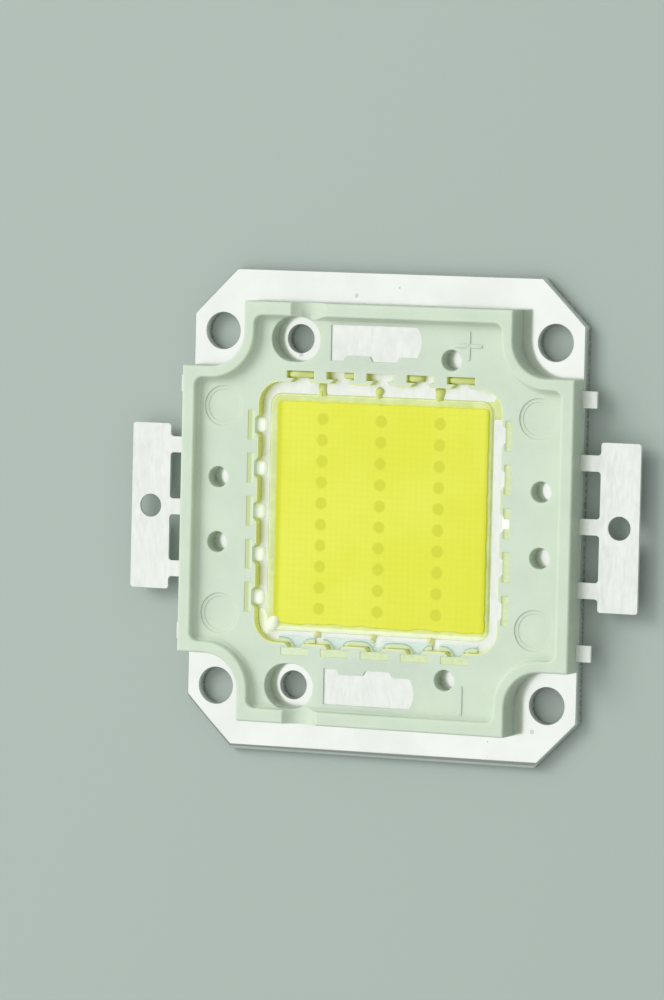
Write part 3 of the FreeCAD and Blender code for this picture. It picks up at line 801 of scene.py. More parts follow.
GAP = ClearSilicone("tinted_pool", "clear_silicone", srgb(210, 218, 168), clouded=srgb(204, 212, 152),
                    solid=0.97, rough=0.3, glow=0.12)
BEAD = ClearSilicone("wire_bead_silicone", "bead_silicone", srgb(198, 205, 108),
                     clouded=srgb(211, 217, 140), solid=0.92, rough=0.25, glow=0.12)
THIN_BEAD = ClearSilicone("thin_bead_silicone", "bead_silicone", srgb(218, 222, 168),
                          clouded=srgb(208, 212, 146), solid=0.75, rough=0.25, glow=0.12)
DROP = ClearSilicone("stray_drop", "clear_silicone", srgb(246, 249, 236), clouded=srgb(238, 242, 220),
                     solid=0.92, rough=0.08, glow=0.12)
# Painted light: the pools are near white and glow more, which lifts them out of the walls' shadow.
POOL = ClearSilicone("corner_pool", "clear_silicone", srgb(248, 251, 240), clouded=srgb(243, 248, 230),
                     solid=0.95, rough=0.3, glow=0.18)
DIE = PlainSolid("die_ceramic", "die", (0.55, 0.58, 0.20), clouded=(0.48, 0.50, 0.22), metal=0.0, rough=0.3)
GOLD = PlainSolid("gold_wire", "bond_wire", (0.90, 0.70, 0.30), clouded=(0.84, 0.62, 0.26), metal=1.0,
                  rough=0.25)


# Pieces

MERGED_MM = 0.002
FLAT_DEGREES = 1.0
SHARP_DEGREES = 35.0


class PieceShop:
    """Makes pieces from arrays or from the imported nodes, and joins each to the frame."""

    @staticmethod
    def finish_piece(piece: bpy.types.Object, finish: Finish,
                     nodes: tuple[str, ...] = ()) -> bpy.types.Object:
        """Dresses a piece and joins it to the frame.

        Args:
            piece: The piece, in place.
            finish: Its finish.
            nodes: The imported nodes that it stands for.

        Returns:
            The same piece.
        """
        piece.data.materials.clear()
        piece.data.materials.append(finish.material())
        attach(piece, BODY)
        if nodes:
            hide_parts(*nodes)
        LOG.info("%s: %d faces, finish %s", piece.name, len(piece.data.polygons), finish.name)
        return piece

    @staticmethod
    def from_arrays(name: str, points: np.ndarray, faces: list[np.ndarray]) -> bpy.types.Object:
        """Puts a surface into a new mesh, smooth all over.

        Args:
            name: The piece's name.
            points: Its points, one row each, in metres.
            faces: Arrays of point numbers, one row per face, of three or four columns.

        Returns:
            The new object.
        """
        mesh = bpy.data.meshes.new(name)
        rows = [row for block in faces for row in block.tolist()]
        mesh.from_pydata(points.tolist(), [], rows)
        mesh.polygons.foreach_set("use_smooth", np.ones(len(rows), bool))
        mesh.update()
        piece = bpy.data.objects.new(name, mesh)
        bpy.context.scene.collection.objects.link(piece)
        return piece

    @staticmethod
    def rounded_copy(node: str, name: str, edge: float, segments: int = 2,
                     shares: EdgeShares | None = None) -> bpy.types.Object:
        """Copies a node with its sharp edges rounded.

        The copy is worked in millimetres, because the bevel's own limits are too coarse in metres.

        Args:
            node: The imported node.
            name: The copy's name.
            edge: The radius of its edges, in metres.
            segments: The faces across each rounded edge.
            shares: Gives each edge its share of the radius, from its ends in millimetres and its angle.

        Returns:
            The copy, in place.
        """
        mesh = PieceShop.weighted_copy(node, shares)
        rough = bpy.data.objects.new(name + "_rough", mesh)
        bpy.context.scene.collection.objects.link(rough)
        bevel = rough.modifiers.new("bevel", "BEVEL")
        bevel.width = edge / MM
        bevel.segments = segments
        bevel.limit_method = "WEIGHT"
        bevel.use_clamp_overlap = shares is None
        bevel.harden_normals = True
        depsgraph = bpy.context.evaluated_depsgraph_get()
        worked = bpy.data.meshes.new_from_object(rough.evaluated_get(depsgraph))
        worked.transform(Matrix.Scale(MM, 4))
        worked.name = name
        bpy.data.objects.remove(rough)
        piece = bpy.data.objects.new(name, worked)
        bpy.context.scene.collection.objects.link(piece)
        return piece

    @staticmethod
    def weighted_copy(node: str, shares: EdgeShares | None) -> bpy.types.Mesh:
        """Copies a node's mesh in millimetres, merged, with the weights that a bevel reads on its edges.

        Args:
            node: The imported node.
            shares: Gives each sharp edge its weight, or None where all have a full one.

        Returns:
            The new mesh.
        """
        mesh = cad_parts[node].data.copy()
        mesh.transform(Matrix.Scale(1 / MM, 4))
        shape = bmesh.new()
        shape.from_mesh(mesh)
        bmesh.ops.remove_doubles(shape, verts=shape.verts, dist=MERGED_MM)
        bmesh.ops.dissolve_limit(shape, angle_limit=math.radians(FLAT_DEGREES), verts=shape.verts,
                                 edges=shape.edges)
        layer = shape.edges.layers.float.new("bevel_weight_edge")
        ends = np.array([[tuple(corner.co) for corner in edge.verts] for edge in shape.edges])
        angles = np.degrees([edge.calc_face_angle(0.0) for edge in shape.edges])
        weights = np.where(angles > SHARP_DEGREES, shares(ends, angles) if shares else 1.0, 0.0)
        for edge, weight in zip(shape.edges, weights.tolist()):
            edge[layer] = weight
        shape.to_mesh(mesh)
        shape.free()
        return mesh


def ring_faces(rows: int, columns: int, closed: bool) -> np.ndarray:
    """The quads of a grid whose columns wrap round.

    Args:
        rows: Rows of points.
        columns: Points in a row.
        closed: Whether the last row joins the first as well.

    Returns:
        One row of four point numbers per quad.
    """
    numbers = np.arange(rows * columns).reshape(rows, columns)
    here = numbers if closed else numbers[:-1]
    up = np.roll(numbers, -1, axis=0) if closed else numbers[1:]
    return np.stack([here, np.roll(here, -1, axis=1), np.roll(up, -1, axis=1), up], axis=-1).reshape(-1, 4)


def cap_faces(centre: int, ring: np.ndarray, up: bool) -> np.ndarray:
    """The triangles from a ring of points to its middle.

    Args:
        centre: The middle's point number.
        ring: The ring's point numbers, counterclockwise from above.
        up: Whether the cap faces up.

    Returns:
        One row of three point numbers per triangle.
    """
    after = np.roll(ring, -1)
    middle = np.full_like(ring, centre)
    return np.stack([middle, ring, after] if up else [middle, after, ring], axis=-1)


def closed_rings(points: np.ndarray, climbing: bool = True,
                 poles: Sequence | None = None) -> tuple[np.ndarray, list[np.ndarray]]:
    """Closes a stack of rings with a fan at each end.

    Args:
        points: The rings, counterclockwise, in rows, columns and coordinates.
        climbing: Whether the rings go towards the side from which they run counterclockwise.
        poles: The two fans' middles, or None for the end rings' own middles.

    Returns:
        The points, one row each, and the faces in blocks.
    """
    rows, columns = points.shape[:2]
    first = np.arange(columns)
    last = first + (rows - 1) * columns
    sides = ring_faces(rows, columns, False)
    faces = [
        sides if climbing else sides[:, ::-1],
        cap_faces(rows * columns, first, not climbing),
        cap_faces(rows * columns + 1, last, climbing),
    ]
    middles = points[[0, -1]].mean(axis=1) if poles is None else poles
    return np.vstack([points.reshape(-1, 3), middles]), faces


def squared_ball(rows: int, columns: int, power: float) -> tuple[np.ndarray, ...]:
    """A superellipsoid of radius 1, in rings from its lowest to its highest, without its poles.

    Each coordinate is a sine, a cosine or the product of two, each raised to a power: 1 gives a ball, and
    a smaller one squares it off and leaves its edges round.

    Args:
        rows: How many rings.
        columns: Points in a ring.
        power: The power.

    Returns:
        X, Y and Z of each point, and its angle round the ring.
    """
    rise = np.linspace(-np.pi / 2, np.pi / 2, rows + 2)[1:-1]
    spin = np.linspace(0, 2 * np.pi, columns, endpoint=False)
    rise, spin = np.meshgrid(rise, spin, indexing="ij")

    def squared(wave: np.ndarray) -> np.ndarray:
        """Raises a wave to the power and keeps its sign."""
        return np.sign(wave) * np.abs(wave) ** power

    flat = squared(np.cos(rise))
    return flat * squared(np.cos(spin)), flat * squared(np.sin(spin)), squared(np.sin(rise)), spin


def read_points(mesh: bpy.types.Mesh) -> np.ndarray:
    """Reads a mesh's points, one row each."""
    points = np.empty(len(mesh.vertices) * 3, np.float32)
    mesh.vertices.foreach_get("co", points)
    return points.reshape(-1, 3)


def write_points(mesh: bpy.types.Mesh, points: np.ndarray) -> None:
    """Writes a mesh's points back."""
    mesh.vertices.foreach_set("co", points.ravel())
    mesh.update()


def rounded_square(half: float, radius: float, count: int) -> tuple[np.ndarray, np.ndarray]:
    """A square with round corners, walked counterclockwise at an even pace.

    Each corner is a quarter circle about its own middle, the straight runs join them, and the points are
    picked at equal steps of the length walked.

    Args:
        half: Half the side.
        radius: The corners' radius.
        count: How many points.

    Returns:
        The points and the outward normals, two columns each.
    """
    angles = np.linspace(0, np.pi / 2, 17)
    turns = (np.arange(4)[:, None] * np.pi / 2 + angles).ravel()
    signs = np.array([[1, 1], [-1, 1], [-1, -1], [1, -1]])
    middles = np.repeat(signs * (half - radius), len(angles), axis=0)
    corners = middles + radius * np.stack([np.cos(turns), np.sin(turns)], axis=-1)
    corners = np.vstack([corners, corners[:1]])
    turns = np.append(turns, 2 * np.pi)
    walked = np.append(0, np.cumsum(np.hypot(*np.diff(corners, axis=0).T)))
    stops = np.linspace(0, walked[-1], count, endpoint=False)
    path = np.stack([np.interp(stops, walked, corners[:, side]) for side in (0, 1)], axis=-1)
    lean = np.interp(stops, walked, turns)
    return path, np.stack([np.cos(lean), np.sin(lean)], axis=-1)


def ripple(places: np.ndarray, waves: tuple[tuple[float, float], ...]) -> np.ndarray:
    """A repeatable unevenness between about -1 and 1: sine waves of different length and phase, added.

    Args:
        places: Where to work it out, as a share of the whole way round.
        waves: Each wave's turns and its phase.

    Returns:
        One value per place.
    """
    total = sum(np.sin(2 * np.pi * turns * places + phase) for turns, phase in waves)
    return total / len(waves)


@dataclass
class BasePlate:
    """The punched metal plate."""

    edge: float = 0.07 * MM

    def build(self) -> None:
        """Makes the plate with softened edges."""
        piece = PieceShop.rounded_copy("base_plate", "punched_base_plate", self.edge)
        PieceShop.finish_piece(piece, PLATE, ("base_plate",))


@dataclass
class Leads:
    """The two stamped lead frames and the contact pads in the housing's windows."""

    edge: float = 0.04 * MM

    def build(self) -> None:
        """Makes the leads with softened edges."""
        for pole in ("positive", "negative"):
            for node in (f"lead_frame_{pole}", f"contact_pad_{pole}"):
                piece = PieceShop.rounded_copy(node, "stamped_" + node, self.edge)
                PieceShop.finish_piece(piece, LEAD, (node,))


@dataclass
class Housing:
    """The moulded frame and its raised polarity marks.

    Its edges' shares of the largest radius, and the places that tell its edges apart, are in millimetres.
    """

    edge: float = 0.22 * MM
    rim_level: float = 4.0 * MM
    mark_x: float = 8.92 * MM
    plus_y: float = 16.45 * MM
    minus_y: float = -16.86 * MM
    stroke_length: float = 2.75 * MM
    stroke_width: float = 0.34 * MM
    stroke_height: float = 0.1 * MM
    squareness: float = 0.22

    plain_share: float = 0.4
    rim_share: float = 1.0
    foot_share: float = 0.5
    shallow_share: float = 0.13
    slot_level_share: float = 0.2
    slot_upright_share: float = 0.1
    under_share: float = 0.12

    hair: float = 0.01
    foot_degrees: float = 60.0
    shallow_depth: float = 0.3
    ring_place: tuple[float, float] = (16.1, 9.9)
    ring_reach: float = 2.1
    window_side: float = 5.4
    window_inner: float = 14.3
    neck_end: float = 12.8
    slot_end: float = 13.9
    slot_side: float = 11.0
    under_inner: float = 14.2
    bend_place: tuple[float, float] = (18.1, 12.1)
    bend_reach: float = 1.0
    relief_inner: float = 18.2
    relief_x: float = -8.9
    relief_side: float = 3.2

    def build(self) -> None:
        """Makes the frame, the plus and the minus."""
        piece = PieceShop.rounded_copy("housing_frame", "housing_moulding", self.edge, 3, self.shares)
        PieceShop.finish_piece(piece, PLASTIC, ("housing_frame",))
        self.stroke("mark_plus_upright", self.plus_y, False)
        self.stroke("mark_plus_level", self.plus_y, True)
        self.stroke("mark_minus", self.minus_y, False)

    def shares(self, ends: np.ndarray, angles: np.ndarray) -> np.ndarray:
        """How round each edge is: the rim's top most, shallow steps and narrow slots least.

        Args:
            ends: Each edge's two ends, in millimetres.
            angles: The angle between each edge's faces, in degrees.

        Returns:
            Each edge's share of the largest radius.
        """
        low, high = ends[..., 2].min(axis=1), ends[..., 2].max(axis=1)
        across, along = np.abs(ends[..., 0]), np.abs(ends[..., 1])
        far, near = np.maximum(across, along).max(axis=1), np.minimum(across, along).max(axis=1)
        floor, rim = FLOOR_LEVEL / MM, self.rim_level / MM
        level = high - low < self.hair
        foot = level & (angles < self.foot_degrees) & (low > floor - self.hair)
        shallow = level & (low > floor - self.shallow_depth) & (high < floor + self.hair)
        ring = np.hypot(across - self.ring_place[0], along - self.ring_place[1]).max(axis=1) < self.ring_reach
        window = (across.max(axis=1) < self.window_side) & (along.min(axis=1) > self.window_inner)
        slot = (far < self.neck_end) | ((far < self.slot_end) & (near < self.slot_side))
        under = high < floor - self.shallow_depth
        bend = np.hypot(far - self.bend_place[0], near - self.bend_place[1]) < self.bend_reach
        beside = np.abs(ends[..., 0] - self.relief_x).max(axis=1) < self.relief_side
        relief = beside & (along.min(axis=1) > self.relief_inner) & (high < rim - self.hair)
        shares = np.full(len(ends), self.plain_share)
        for edges, share in (
            (level & (low > rim - self.hair), self.rim_share),
            (foot, self.foot_share),
            (shallow & (ring | window), self.shallow_share),
            (slot & level, self.slot_level_share),
            (slot & ~level, self.slot_upright_share),
            (under, self.under_share),
            (under & (far < self.under_inner) | bend & ~level | relief, 0.0),
        ):
            shares[edges] = share
        return shares

    def stroke(self, name: str, y: float, level: bool) -> None:
        """Makes one raised bar of a mark, a squared ball drawn out to the bar's size.

        Args:
            name: The piece's name.
            y: The middle of the bar along Y.
            level: Whether it runs along X.
        """
        sizes = (self.stroke_length, self.stroke_width) if level else (self.stroke_width, self.stroke_length)
        half = np.array([*sizes, 2 * self.stroke_height]) / 2
        middle = np.array([self.mark_x, y, FLOOR_LEVEL])
        unit = np.stack(squared_ball(17, 48, self.squareness)[:3], axis=-1)
        poles = middle + half * [[0, 0, -1], [0, 0, 1]]
        shape = closed_rings(middle + half * unit, poles=poles)
        PieceShop.finish_piece(PieceShop.from_arrays(name, *shape), PLASTIC)


@dataclass
class LightField:
    """The yellow silicone over the dies and the clear border that holds it."""

    steps: int = 640
    outer_half: float = 11.15 * MM
    outer_radius: float = 1.0 * MM
    outer_stretch: float = 1.0067
    outer_shift: float = -0.205 * MM
    core_half: float = 10.62 * MM
    core_radius: float = 0.45 * MM
    core_stretch: float = 1.0217
    core_shift: float = 0.1 * MM
    bottom: float = 1.3 * MM
    top: float = 2.4 * MM
    swell: float = 0.05 * MM
    core_roll: float = 0.16 * MM
    border_roll: float = 0.18 * MM
    foot_reach: float = 0.24 * MM
    seam_drop: float = 0.06 * MM
    tuck: float = 0.14 * MM
    even_wave: float = 0.035 * MM
    low_wave: float = 0.14 * MM
    sag: float = 0.02 * MM

    def build(self) -> None:
        """Makes the yellow field and its border."""
        self.core()
        self.border()
        for name, node in sorted(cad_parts.items()):
            if name.startswith("led_die"):
                for place in node.material_slots:
                    place.material = DIE.material()

    def core_path(self, inset: float = 0.0) -> np.ndarray:
        """The yellow field's outline: a rounded square that wanders in and out, most along its -Y side.

        Args:
            inset: How far inside the outline to go.

        Returns:
            The points, two columns.
        """
        path, normals = rounded_square(self.core_half, self.core_radius, self.steps)
        places = np.arange(self.steps) / self.steps
        low = np.clip(-path[:, 1] / self.core_half * 6 - 5, 0, 1)
        small = self.even_wave * ripple(places, ((23, 0.4), (37, 2.1), (61, 4.0)))
        large = self.low_wave * low * (ripple(places, ((17, 1.0), (29, 0.3), (9, 2.7))) - 0.35)
        path = path + normals * (small + large - inset)[:, None]
        return path * (self.core_stretch, 1) + (self.core_shift, 0)

    def level(self, path: np.ndarray) -> np.ndarray:
        """The yellow field's height: flat, with a slight swell to the middle and shallow waves.

        Args:
            path: Points, two columns.

        Returns:
            One height per point.
        """
        share = path / self.core_half
        bulge = (1 - share[:, 0] ** 2) * (1 - share[:, 1] ** 2)
        waves = np.sin(share[:, 0] * 7.1 + 0.6) * np.sin(share[:, 1] * 5.3 + 1.9)
        return self.top - self.swell + self.swell * (0.8 * bulge + 0.2 * waves)

    def core(self) -> None:
        """Makes the yellow field: rings from the middle out, a rolled rim and a wall down to the plate."""
        outline = self.core_path()
        inner = self.core_path(self.core_roll)
        fractions = np.append(np.linspace(0.04, 0.92, 23), 1.0)
        flat = inner[None] * fractions[:, None, None]
        heights = self.level(flat.reshape(-1, 2)).reshape(flat.shape[:2])
        turn = np.linspace(0, np.pi / 2, 6)[1:, None]
        roll = inner[None] + (outline - inner)[None] * np.sin(turn)[..., None]
        drop = self.core_roll * (1 - np.cos(turn))
        rolled = self.level(inner)[None] - drop
        flat = np.concatenate([flat, roll, outline[None], inner[None]])
        heights = np.concatenate([heights, rolled, np.full((2, self.steps), self.bottom)])
        shape = closed_rings(np.concatenate([flat, heights[..., None]], axis=-1), climbing=False)
        PieceShop.finish_piece(PieceShop.from_arrays("phosphor_slab", *shape), FIELD, ("phosphor_fill",))

    def border(self) -> None:
        """Makes the clear border: one profile carried round, from the plate up, over and into the yellow.

        The profile runs out over the leads' edge in a hollow foot, rises at the outer square, rolls over
        by a quarter circle, runs in level to the seam and goes down again inside the yellow field, so that
        no gap shows between the two.
        """
        outer, normals = rounded_square(self.outer_half, self.outer_radius, self.steps)
        outer = outer * (self.outer_stretch, 1) + (self.outer_shift, 0)
        shelf = outer - normals * self.border_roll
        spread = np.array([1.0, 0.5, 0.18])[:, None, None] * self.foot_reach
        foot = outer[None] + normals[None] * spread
        foot_rise = LEAD_TOP + np.array([-0.03, 0.03, 0.1])[:, None] * MM
        tucked = self.core_path(self.tuck)
        turn = np.linspace(0, np.pi / 2, 8)[:, None, None]
        rolled = shelf[None] + (outer - shelf)[None] * np.cos(turn)
        top = self.top - self.swell - self.seam_drop
        rise = top - self.border_roll * (1 - np.sin(turn[..., 0]))
        run = np.linspace(0, 1, 5)[1:, None, None]
        level = shelf[None] + (tucked - shelf)[None] * run
        flat = np.concatenate([outer[None], foot, rolled, level, tucked[None]])
        places = np.arange(self.steps) / self.steps
        sag = self.sag * ripple(places, ((31, 0.2), (53, 1.7)))
        heights = np.concatenate([
            np.full((1, self.steps), self.bottom),
            foot_rise + np.zeros((1, self.steps)),
            rise + np.zeros((1, self.steps)),
            np.full((4, self.steps), top) + sag,
            np.full((1, self.steps), self.bottom),
        ])
        points = np.concatenate([flat, heights[..., None]], axis=-1)
        faces = [ring_faces(*heights.shape, True)]
        piece = PieceShop.from_arrays("clear_border_wall", points.reshape(-1, 3), faces)
        PieceShop.finish_piece(piece, CLEAR, ("silicone_dam",))


class BeadShape(Enum):
    """The shapes that a bead of silicone has taken on the wires."""

    STRIP = "strip"
    BALL = "ball"
    WEDGE = "wedge"


@dataclass
class Bead:
    """One bead of silicone over a column's wires."""

    node: str
    x: float
    start: float
    end: float
    width: float
    shape: BeadShape
    finish: Finish = BEAD
    height: float = 0.42 * MM
    base: float = 1.88 * MM
    ball_middle: float = 0.36
    neck: float = 0.66
    closed_end: float = 0.02
    sway: float = 0.04 * MM
    underside: float = -0.05

    def build(self) -> None:
        """Makes the bead: a half-round section carried along Y, its width and height following its shape.

        A strip keeps its width, a ball's width follows a circle down to a neck, and a wedge narrows
        steadily. All close over their last ninth at each end.
        """
        along = np.linspace(0, 1, 40)
        ends = np.maximum(np.clip(np.minimum(along, 1 - along) * 9, 0, 1) ** 0.5, self.closed_end)
        ball = np.sqrt(np.clip(1 - (along / self.ball_middle - 1) ** 2, 0, 1))
        profiles = {
            BeadShape.STRIP: 1.0 + 0.06 * np.sin(along * 11),
            BeadShape.BALL: np.maximum(ball, self.neck),
            BeadShape.WEDGE: 1.1 - 0.4 * along,
        }
        half = self.width / 2 * profiles[self.shape] * ends
        rise = self.height * ends * (0.8 + 0.2 * profiles[self.shape])
        turn = np.linspace(0, 2 * np.pi, 32, endpoint=False)[None]
        sway = self.sway * np.sin(along * 7 + self.x / MM)
        x = self.x + sway[:, None] + half[:, None] * np.cos(turn)
        y = np.broadcast_to((self.start + (self.end - self.start) * along)[:, None], x.shape)
        z = self.base + rise[:, None] * np.maximum(np.sin(turn), self.underside)
        shape = closed_rings(np.stack([x, y, z], axis=-1), climbing=self.end < self.start)
        PieceShop.finish_piece(PieceShop.from_arrays(self.node + "_blob", *shape), self.finish, (self.node,))


@dataclass
class Wires:
    """One column's wires, whose outer ends lead into its two beads."""

    column: int
    bend_start: float = 9.8 * MM
    bend_end: float = 11.0 * MM

    def build(self) -> None:
        """Copies the column's wires and moves their ends across to the beads."""
        node = f"bond_wires_{self.column}"
        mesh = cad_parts[node].data.copy()
        points = read_points(mesh)
        top, bottom = (bead.x for bead in BEADS if bead.node.endswith(f"_{self.column}"))
        middle = (self.column - 2) * COLUMN_PITCH
        share = np.clip((np.abs(points[:, 1]) - self.bend_start) / (self.bend_end - self.bend_start), 0, 1)
        points[:, 0] += share * (np.where(points[:, 1] > 0, top, bottom) - middle)
        write_points(mesh, points)
        piece = bpy.data.objects.new(f"gold_wires_{self.column}", mesh)
        bpy.context.scene.collection.objects.link(piece)
        PieceShop.finish_piece(piece, GOLD, (node,))


@dataclass
class Drop:
    """One stray drop or shallow pool: an ellipsoid whose lower half is flattened.

    A drop is a little pear-shaped. A pool that fills a corner is squared off, and it keeps an even width.
    """

    name: str
    finish: Finish
    x: float
    y: float
    level: float
    half_long: float
    half_wide: float
    height: float
    turn: float
    squareness: float = 1.0
    pear: float = 0.18
    sink: float = 0.25

    @classmethod
    def in_mm(cls, name: str, finish: Finish, place: tuple[float, float, float],
              size: tuple[float, float, float], degrees: float = 90.0, **shape) -> "Drop":
        """Makes a drop from sizes in millimetres.

        Args:
            name: Its name.
            finish: Its finish.
            place: The middle of its underside.
            size: Half its length, half its width and its height.
            degrees: How far its length is turned from +X.
            **shape: Its squareness and pear, where they aren't a plain drop's.

        Returns:
            The drop.
        """
        sizes = (side * MM for side in (*place, *size))
        return cls(name, finish, *sizes, math.radians(degrees), **shape)

    def build(self) -> None:
        """Makes the drop."""
        across, along, lift, spin = squared_ball(19, 40, self.squareness)
        long = self.half_long * across * (1 + self.pear * np.cos(spin))
        wide = self.half_wide * along
        x = self.x + long * math.cos(self.turn) - wide * math.sin(self.turn)
        y = self.y + long * math.sin(self.turn) + wide * math.cos(self.turn)
        z = self.level + self.height * np.maximum(lift, self.sink * lift)
        poles = [[self.x, self.y, self.level + self.height * rise] for rise in (-self.sink, 1)]
        shape = closed_rings(np.stack([x, y, z], axis=-1), poles=poles)
        PieceShop.finish_piece(PieceShop.from_arrays(self.name, *shape), self.finish)


@dataclass
class Overflow:
    """The silicone that ran over the leads and into the slots."""

    edge: float = 0.04 * MM
    bar_reach: float = 12.8 * MM
    bar_middle: float = 13.15 * MM
    swell: float = 0.055 * MM
    filled_above: float = 2.6 * MM
    brim: float = 2.85 * MM
    lift: float = 0.02 * MM

    def build(self) -> None:
        """Copies the overflow and fills the slots' far ends up to their walls and nearly to the brim.

        The film's underside is lifted off the leads a little, so that the two faces don't coincide.
        """
        piece = PieceShop.rounded_copy("silicone_overflow", "overflow_film", self.edge)
        points = read_points(piece.data)
        side = (np.abs(points[:, 1]) > np.abs(points[:, 0])).astype(int)
        rows = np.arange(len(points))
        across, along = points[rows, side], points[rows, 1 - side]
        filling = np.abs(across) > self.bar_reach
        slot = np.round(along / SLOT_PITCH) * SLOT_PITCH
        points[rows, 1 - side] += np.where(filling, np.sign(along - slot) * self.swell, 0)
        outward = np.sign(np.abs(across) - self.bar_middle) * np.sign(across)
        points[rows, side] += np.where(filling, outward * self.swell, 0)
        raised = filling & (points[:, 2] > self.filled_above)
        points[raised, 2] += self.brim - points[:, 2].max()
        points[points[:, 2] < LEAD_TOP + self.lift / 2, 2] += self.lift
        write_points(piece.data, points)
        PieceShop.finish_piece(piece, FLOOD, ("silicone_overflow",))


BEADS = [
    Bead("wire_bead_top_1", -6.25 * MM, 11.0 * MM, 12.45 * MM, 0.84 * MM, BeadShape.STRIP, height=0.3 * MM),
    Bead("wire_bead_top_2", -0.42 * MM, 12.25 * MM, 11.0 * MM, 0.88 * MM, BeadShape.BALL),
    Bead("wire_bead_top_3", 5.75 * MM, 12.4 * MM, 11.0 * MM, 1.0 * MM, BeadShape.WEDGE),
    Bead("wire_bead_bottom_1", -6.2 * MM, -11.0 * MM, -11.85 * MM, 0.75 * MM, BeadShape.STRIP, THIN_BEAD,
         0.2 * MM),
    Bead("wire_bead_bottom_2", -0.5 * MM, -11.0 * MM, -12.0 * MM, 0.8 * MM, BeadShape.WEDGE, THIN_BEAD,
         0.22 * MM),
    Bead("wire_bead_bottom_3", 5.4 * MM, -11.0 * MM, -12.0 * MM, 0.85 * MM, BeadShape.STRIP, THIN_BEAD,
         0.22 * MM),
]
DROPS = [
    Drop.in_mm("stray_clear_drop", DROP, (-10.85, -10.75, 2.3), (0.82, 0.62, 0.4), 55),
    Drop.in_mm("corner_pool", POOL, (-11.75, -10.7, 1.9), (1.25, 0.5, 0.1), 105),
    Drop.in_mm("tinted_pool", GAP, (11.75, 10.7, 1.9), (0.95, 0.52, 0.08), squareness=0.6, pear=0.0),
]
# Residue left in four of the upper slots: its place and half its size, in millimetres
RESIDUES = ((-8.2, 13.16, 1.42, 0.36), (-3.3, 13.2, 0.62, 0.32), (3.45, 13.18, 0.78, 0.36),
            (8.2, 13.16, 1.42, 0.36))
DROPS += [
    Drop.in_mm(f"slot_residue_{number}", RESIDUE, (x, y, 1.95), (long, wide, 0.7), 0.0,
               squareness=0.5, pear=0.0)
    for number, (x, y, long, wide) in enumerate(RESIDUES)
]
# Pools in the left slots' necks: the place across and half the width, in millimetres, the middle one larger
# Their white also stands in for the bright lead seen in the necks' mouths: partly silicone, partly a painted
# highlight.
NECK_POOLS = [(-12.55, 0.7) if number == 2 else (-12.4, 0.58) for number in range(5)]
DROPS += [
    Drop.in_mm(f"neck_pool_{number}", POOL, (x, (number - 2) * SLOT_PITCH / MM, 1.9), (0.74, half, 0.45),
               squareness=0.7, pear=0.0)
    for number, (x, half) in enumerate(NECK_POOLS)
]
DROPS.append(Drop.in_mm("slot_pool", POOL, (13.08, -0.05, 1.95), (0.66, 0.48, 0.93),
                        squareness=0.4, pear=0.0))


# Studio

@dataclass(frozen=True)
class StudioPaper(Finish):
    """Plain matt paper under the part."""

    rough: float = 0.9

    def dress(self, shader: ShaderTree, surface: bpy.types.Node) -> None:
        """Sets the surface up, as Finish.dress says."""
        shader.feed(surface.inputs["Roughness"], self.rough)


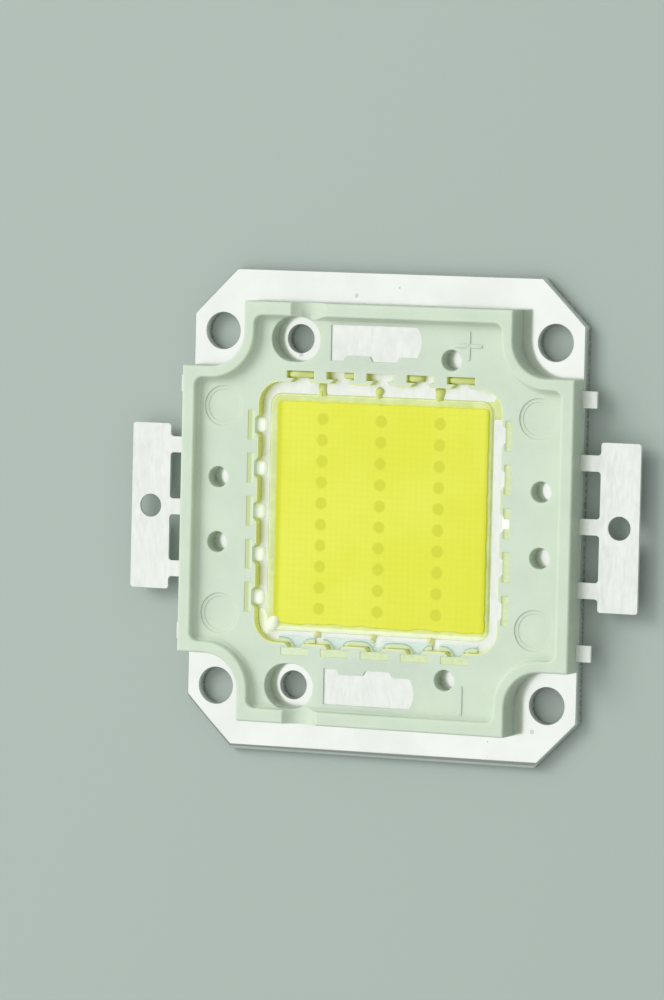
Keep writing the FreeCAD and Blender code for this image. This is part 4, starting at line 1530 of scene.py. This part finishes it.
@dataclass
class Studio:
    """The floor, the soft lamps and the camera."""

    paper: Colour = (0.42, 0.475, 0.445)
    floor_half: float = 2.5
    floor_drop: float = 0.02 * MM
    camera_place: tuple[float, float, float] = (215.94 * MM, 36.03 * MM, 517.01 * MM)
    camera_aim: tuple[float, float, float] = (-5.33 * MM, 1.31 * MM, 1.3 * MM)
    camera_turn: float = math.radians(1.427)
    lens: float = 213.4
    sensor: float = 36.0
    panel_place: tuple[float, float, float] = (-0.42, -0.04, 0.86)
    panel_size: float = 1.5
    panel_light: float = 0.72
    key_place: tuple[float, float, float] = (-0.62, 0.45, 0.75)
    key_size: float = 0.6
    key_light: float = 4.5
    even_light: Colour = (0.46, 0.505, 0.48)
    mirrored_light: Colour = (0.26, 0.29, 0.275)

    def build(self) -> None:
        """Makes the studio."""
        self.floor()
        self.panel("overhead_panel", self.panel_place, self.panel_size, self.panel_light)
        self.panel("key_panel", self.key_place, self.key_size, self.key_light).visible_glossy = False
        self.world()
        self.camera()
        bpy.context.scene.view_settings.view_transform = "Standard"

    def floor(self) -> None:
        """Makes the pale floor."""
        half = self.floor_half
        corners = np.array([[-half, -half], [half, -half], [half, half], [-half, half]])
        points = np.column_stack([corners, np.full(4, -self.floor_drop)])
        floor = PieceShop.from_arrays("studio_floor", points, [np.arange(4)[None]])
        floor.data.materials.append(StudioPaper("studio_paper", "", self.paper).material())

    def panel(self, name: str, place: tuple[float, float, float], size: float,
              light: float) -> bpy.types.Object:
        """Makes a square soft light that faces the part.

        Args:
            name: The light's name.
            place: Its middle, in metres.
            size: Its side, in metres.
            light: The brightness of its face, where 1 is white.

        Returns:
            The light's object.
        """
        lamp = bpy.data.lights.new(name, "AREA")
        lamp.shape = "SQUARE"
        lamp.size = size
        lamp.energy = light * math.pi * size ** 2
        holder = bpy.data.objects.new(name, lamp)
        bpy.context.scene.collection.objects.link(holder)
        holder.matrix_world = Matrix.Translation(place) @ self.facing(Vector(place), Vector())
        return holder

    @staticmethod
    def facing(place: Vector, aim: Vector, turn: float = 0.0) -> Matrix:
        """The turn that points -Z from a place at an aim, with Y as near to up in the picture as it goes.

        Args:
            place: Where it stands.
            aim: What it points at.
            turn: How far the picture's up is turned from +Y, in radians.

        Returns:
            A rotation of four rows.
        """
        back = (place - aim).normalized()
        right = Vector((-math.sin(turn), math.cos(turn), 0)).cross(back).normalized()
        return Matrix((right, back.cross(right), back)).transposed().to_4x4()

    def world(self) -> None:
        """Makes an even light, which the camera sees as pale as the floor and metal mirrors darker."""
        world = bpy.data.worlds.new("studio_world")
        world.use_nodes = True
        world.node_tree.nodes.clear()
        shader = ShaderTree(world.node_tree)
        path = shader.add("ShaderNodeLightPath")
        seen = shader.math("MAXIMUM", path.outputs["Is Camera Ray"], path.outputs["Is Transmission Ray"])
        unseen = shader.blend(path.outputs["Is Glossy Ray"], self.even_light, self.mirrored_light)
        light = shader.add("ShaderNodeBackground", {"Color": shader.blend(seen, unseen, self.paper)})
        end = shader.add("ShaderNodeOutputWorld")
        shader.feed(end.inputs["Surface"], light.outputs[0])
        bpy.context.scene.world = world

    def camera(self) -> None:
        """Makes the camera at the photograph's angle."""
        view = bpy.data.cameras.new("photo_camera")
        view.lens = self.lens
        view.sensor_fit = "VERTICAL"
        view.sensor_height = self.sensor
        view.clip_start = 0.01
        holder = bpy.data.objects.new("photo_camera", view)
        bpy.context.scene.collection.objects.link(holder)
        place = Vector(self.camera_place)
        turned = self.facing(place, Vector(self.camera_aim), self.camera_turn)
        holder.matrix_world = Matrix.Translation(place) @ turned
        bpy.context.scene.camera = holder


def main() -> None:
    """Builds the part piece by piece, then the studio."""
    logging.basicConfig(level=logging.INFO, format="%(name)s: %(message)s")
    for assembly in (BasePlate(), Leads(), Housing(), LightField(), *BEADS, *map(Wires, (1, 2, 3)),
                     Overflow(), *DROPS, Studio()):
        LOG.info("building %s", type(assembly).__name__)
        assembly.build()


if __name__ == "__main__":
    main()
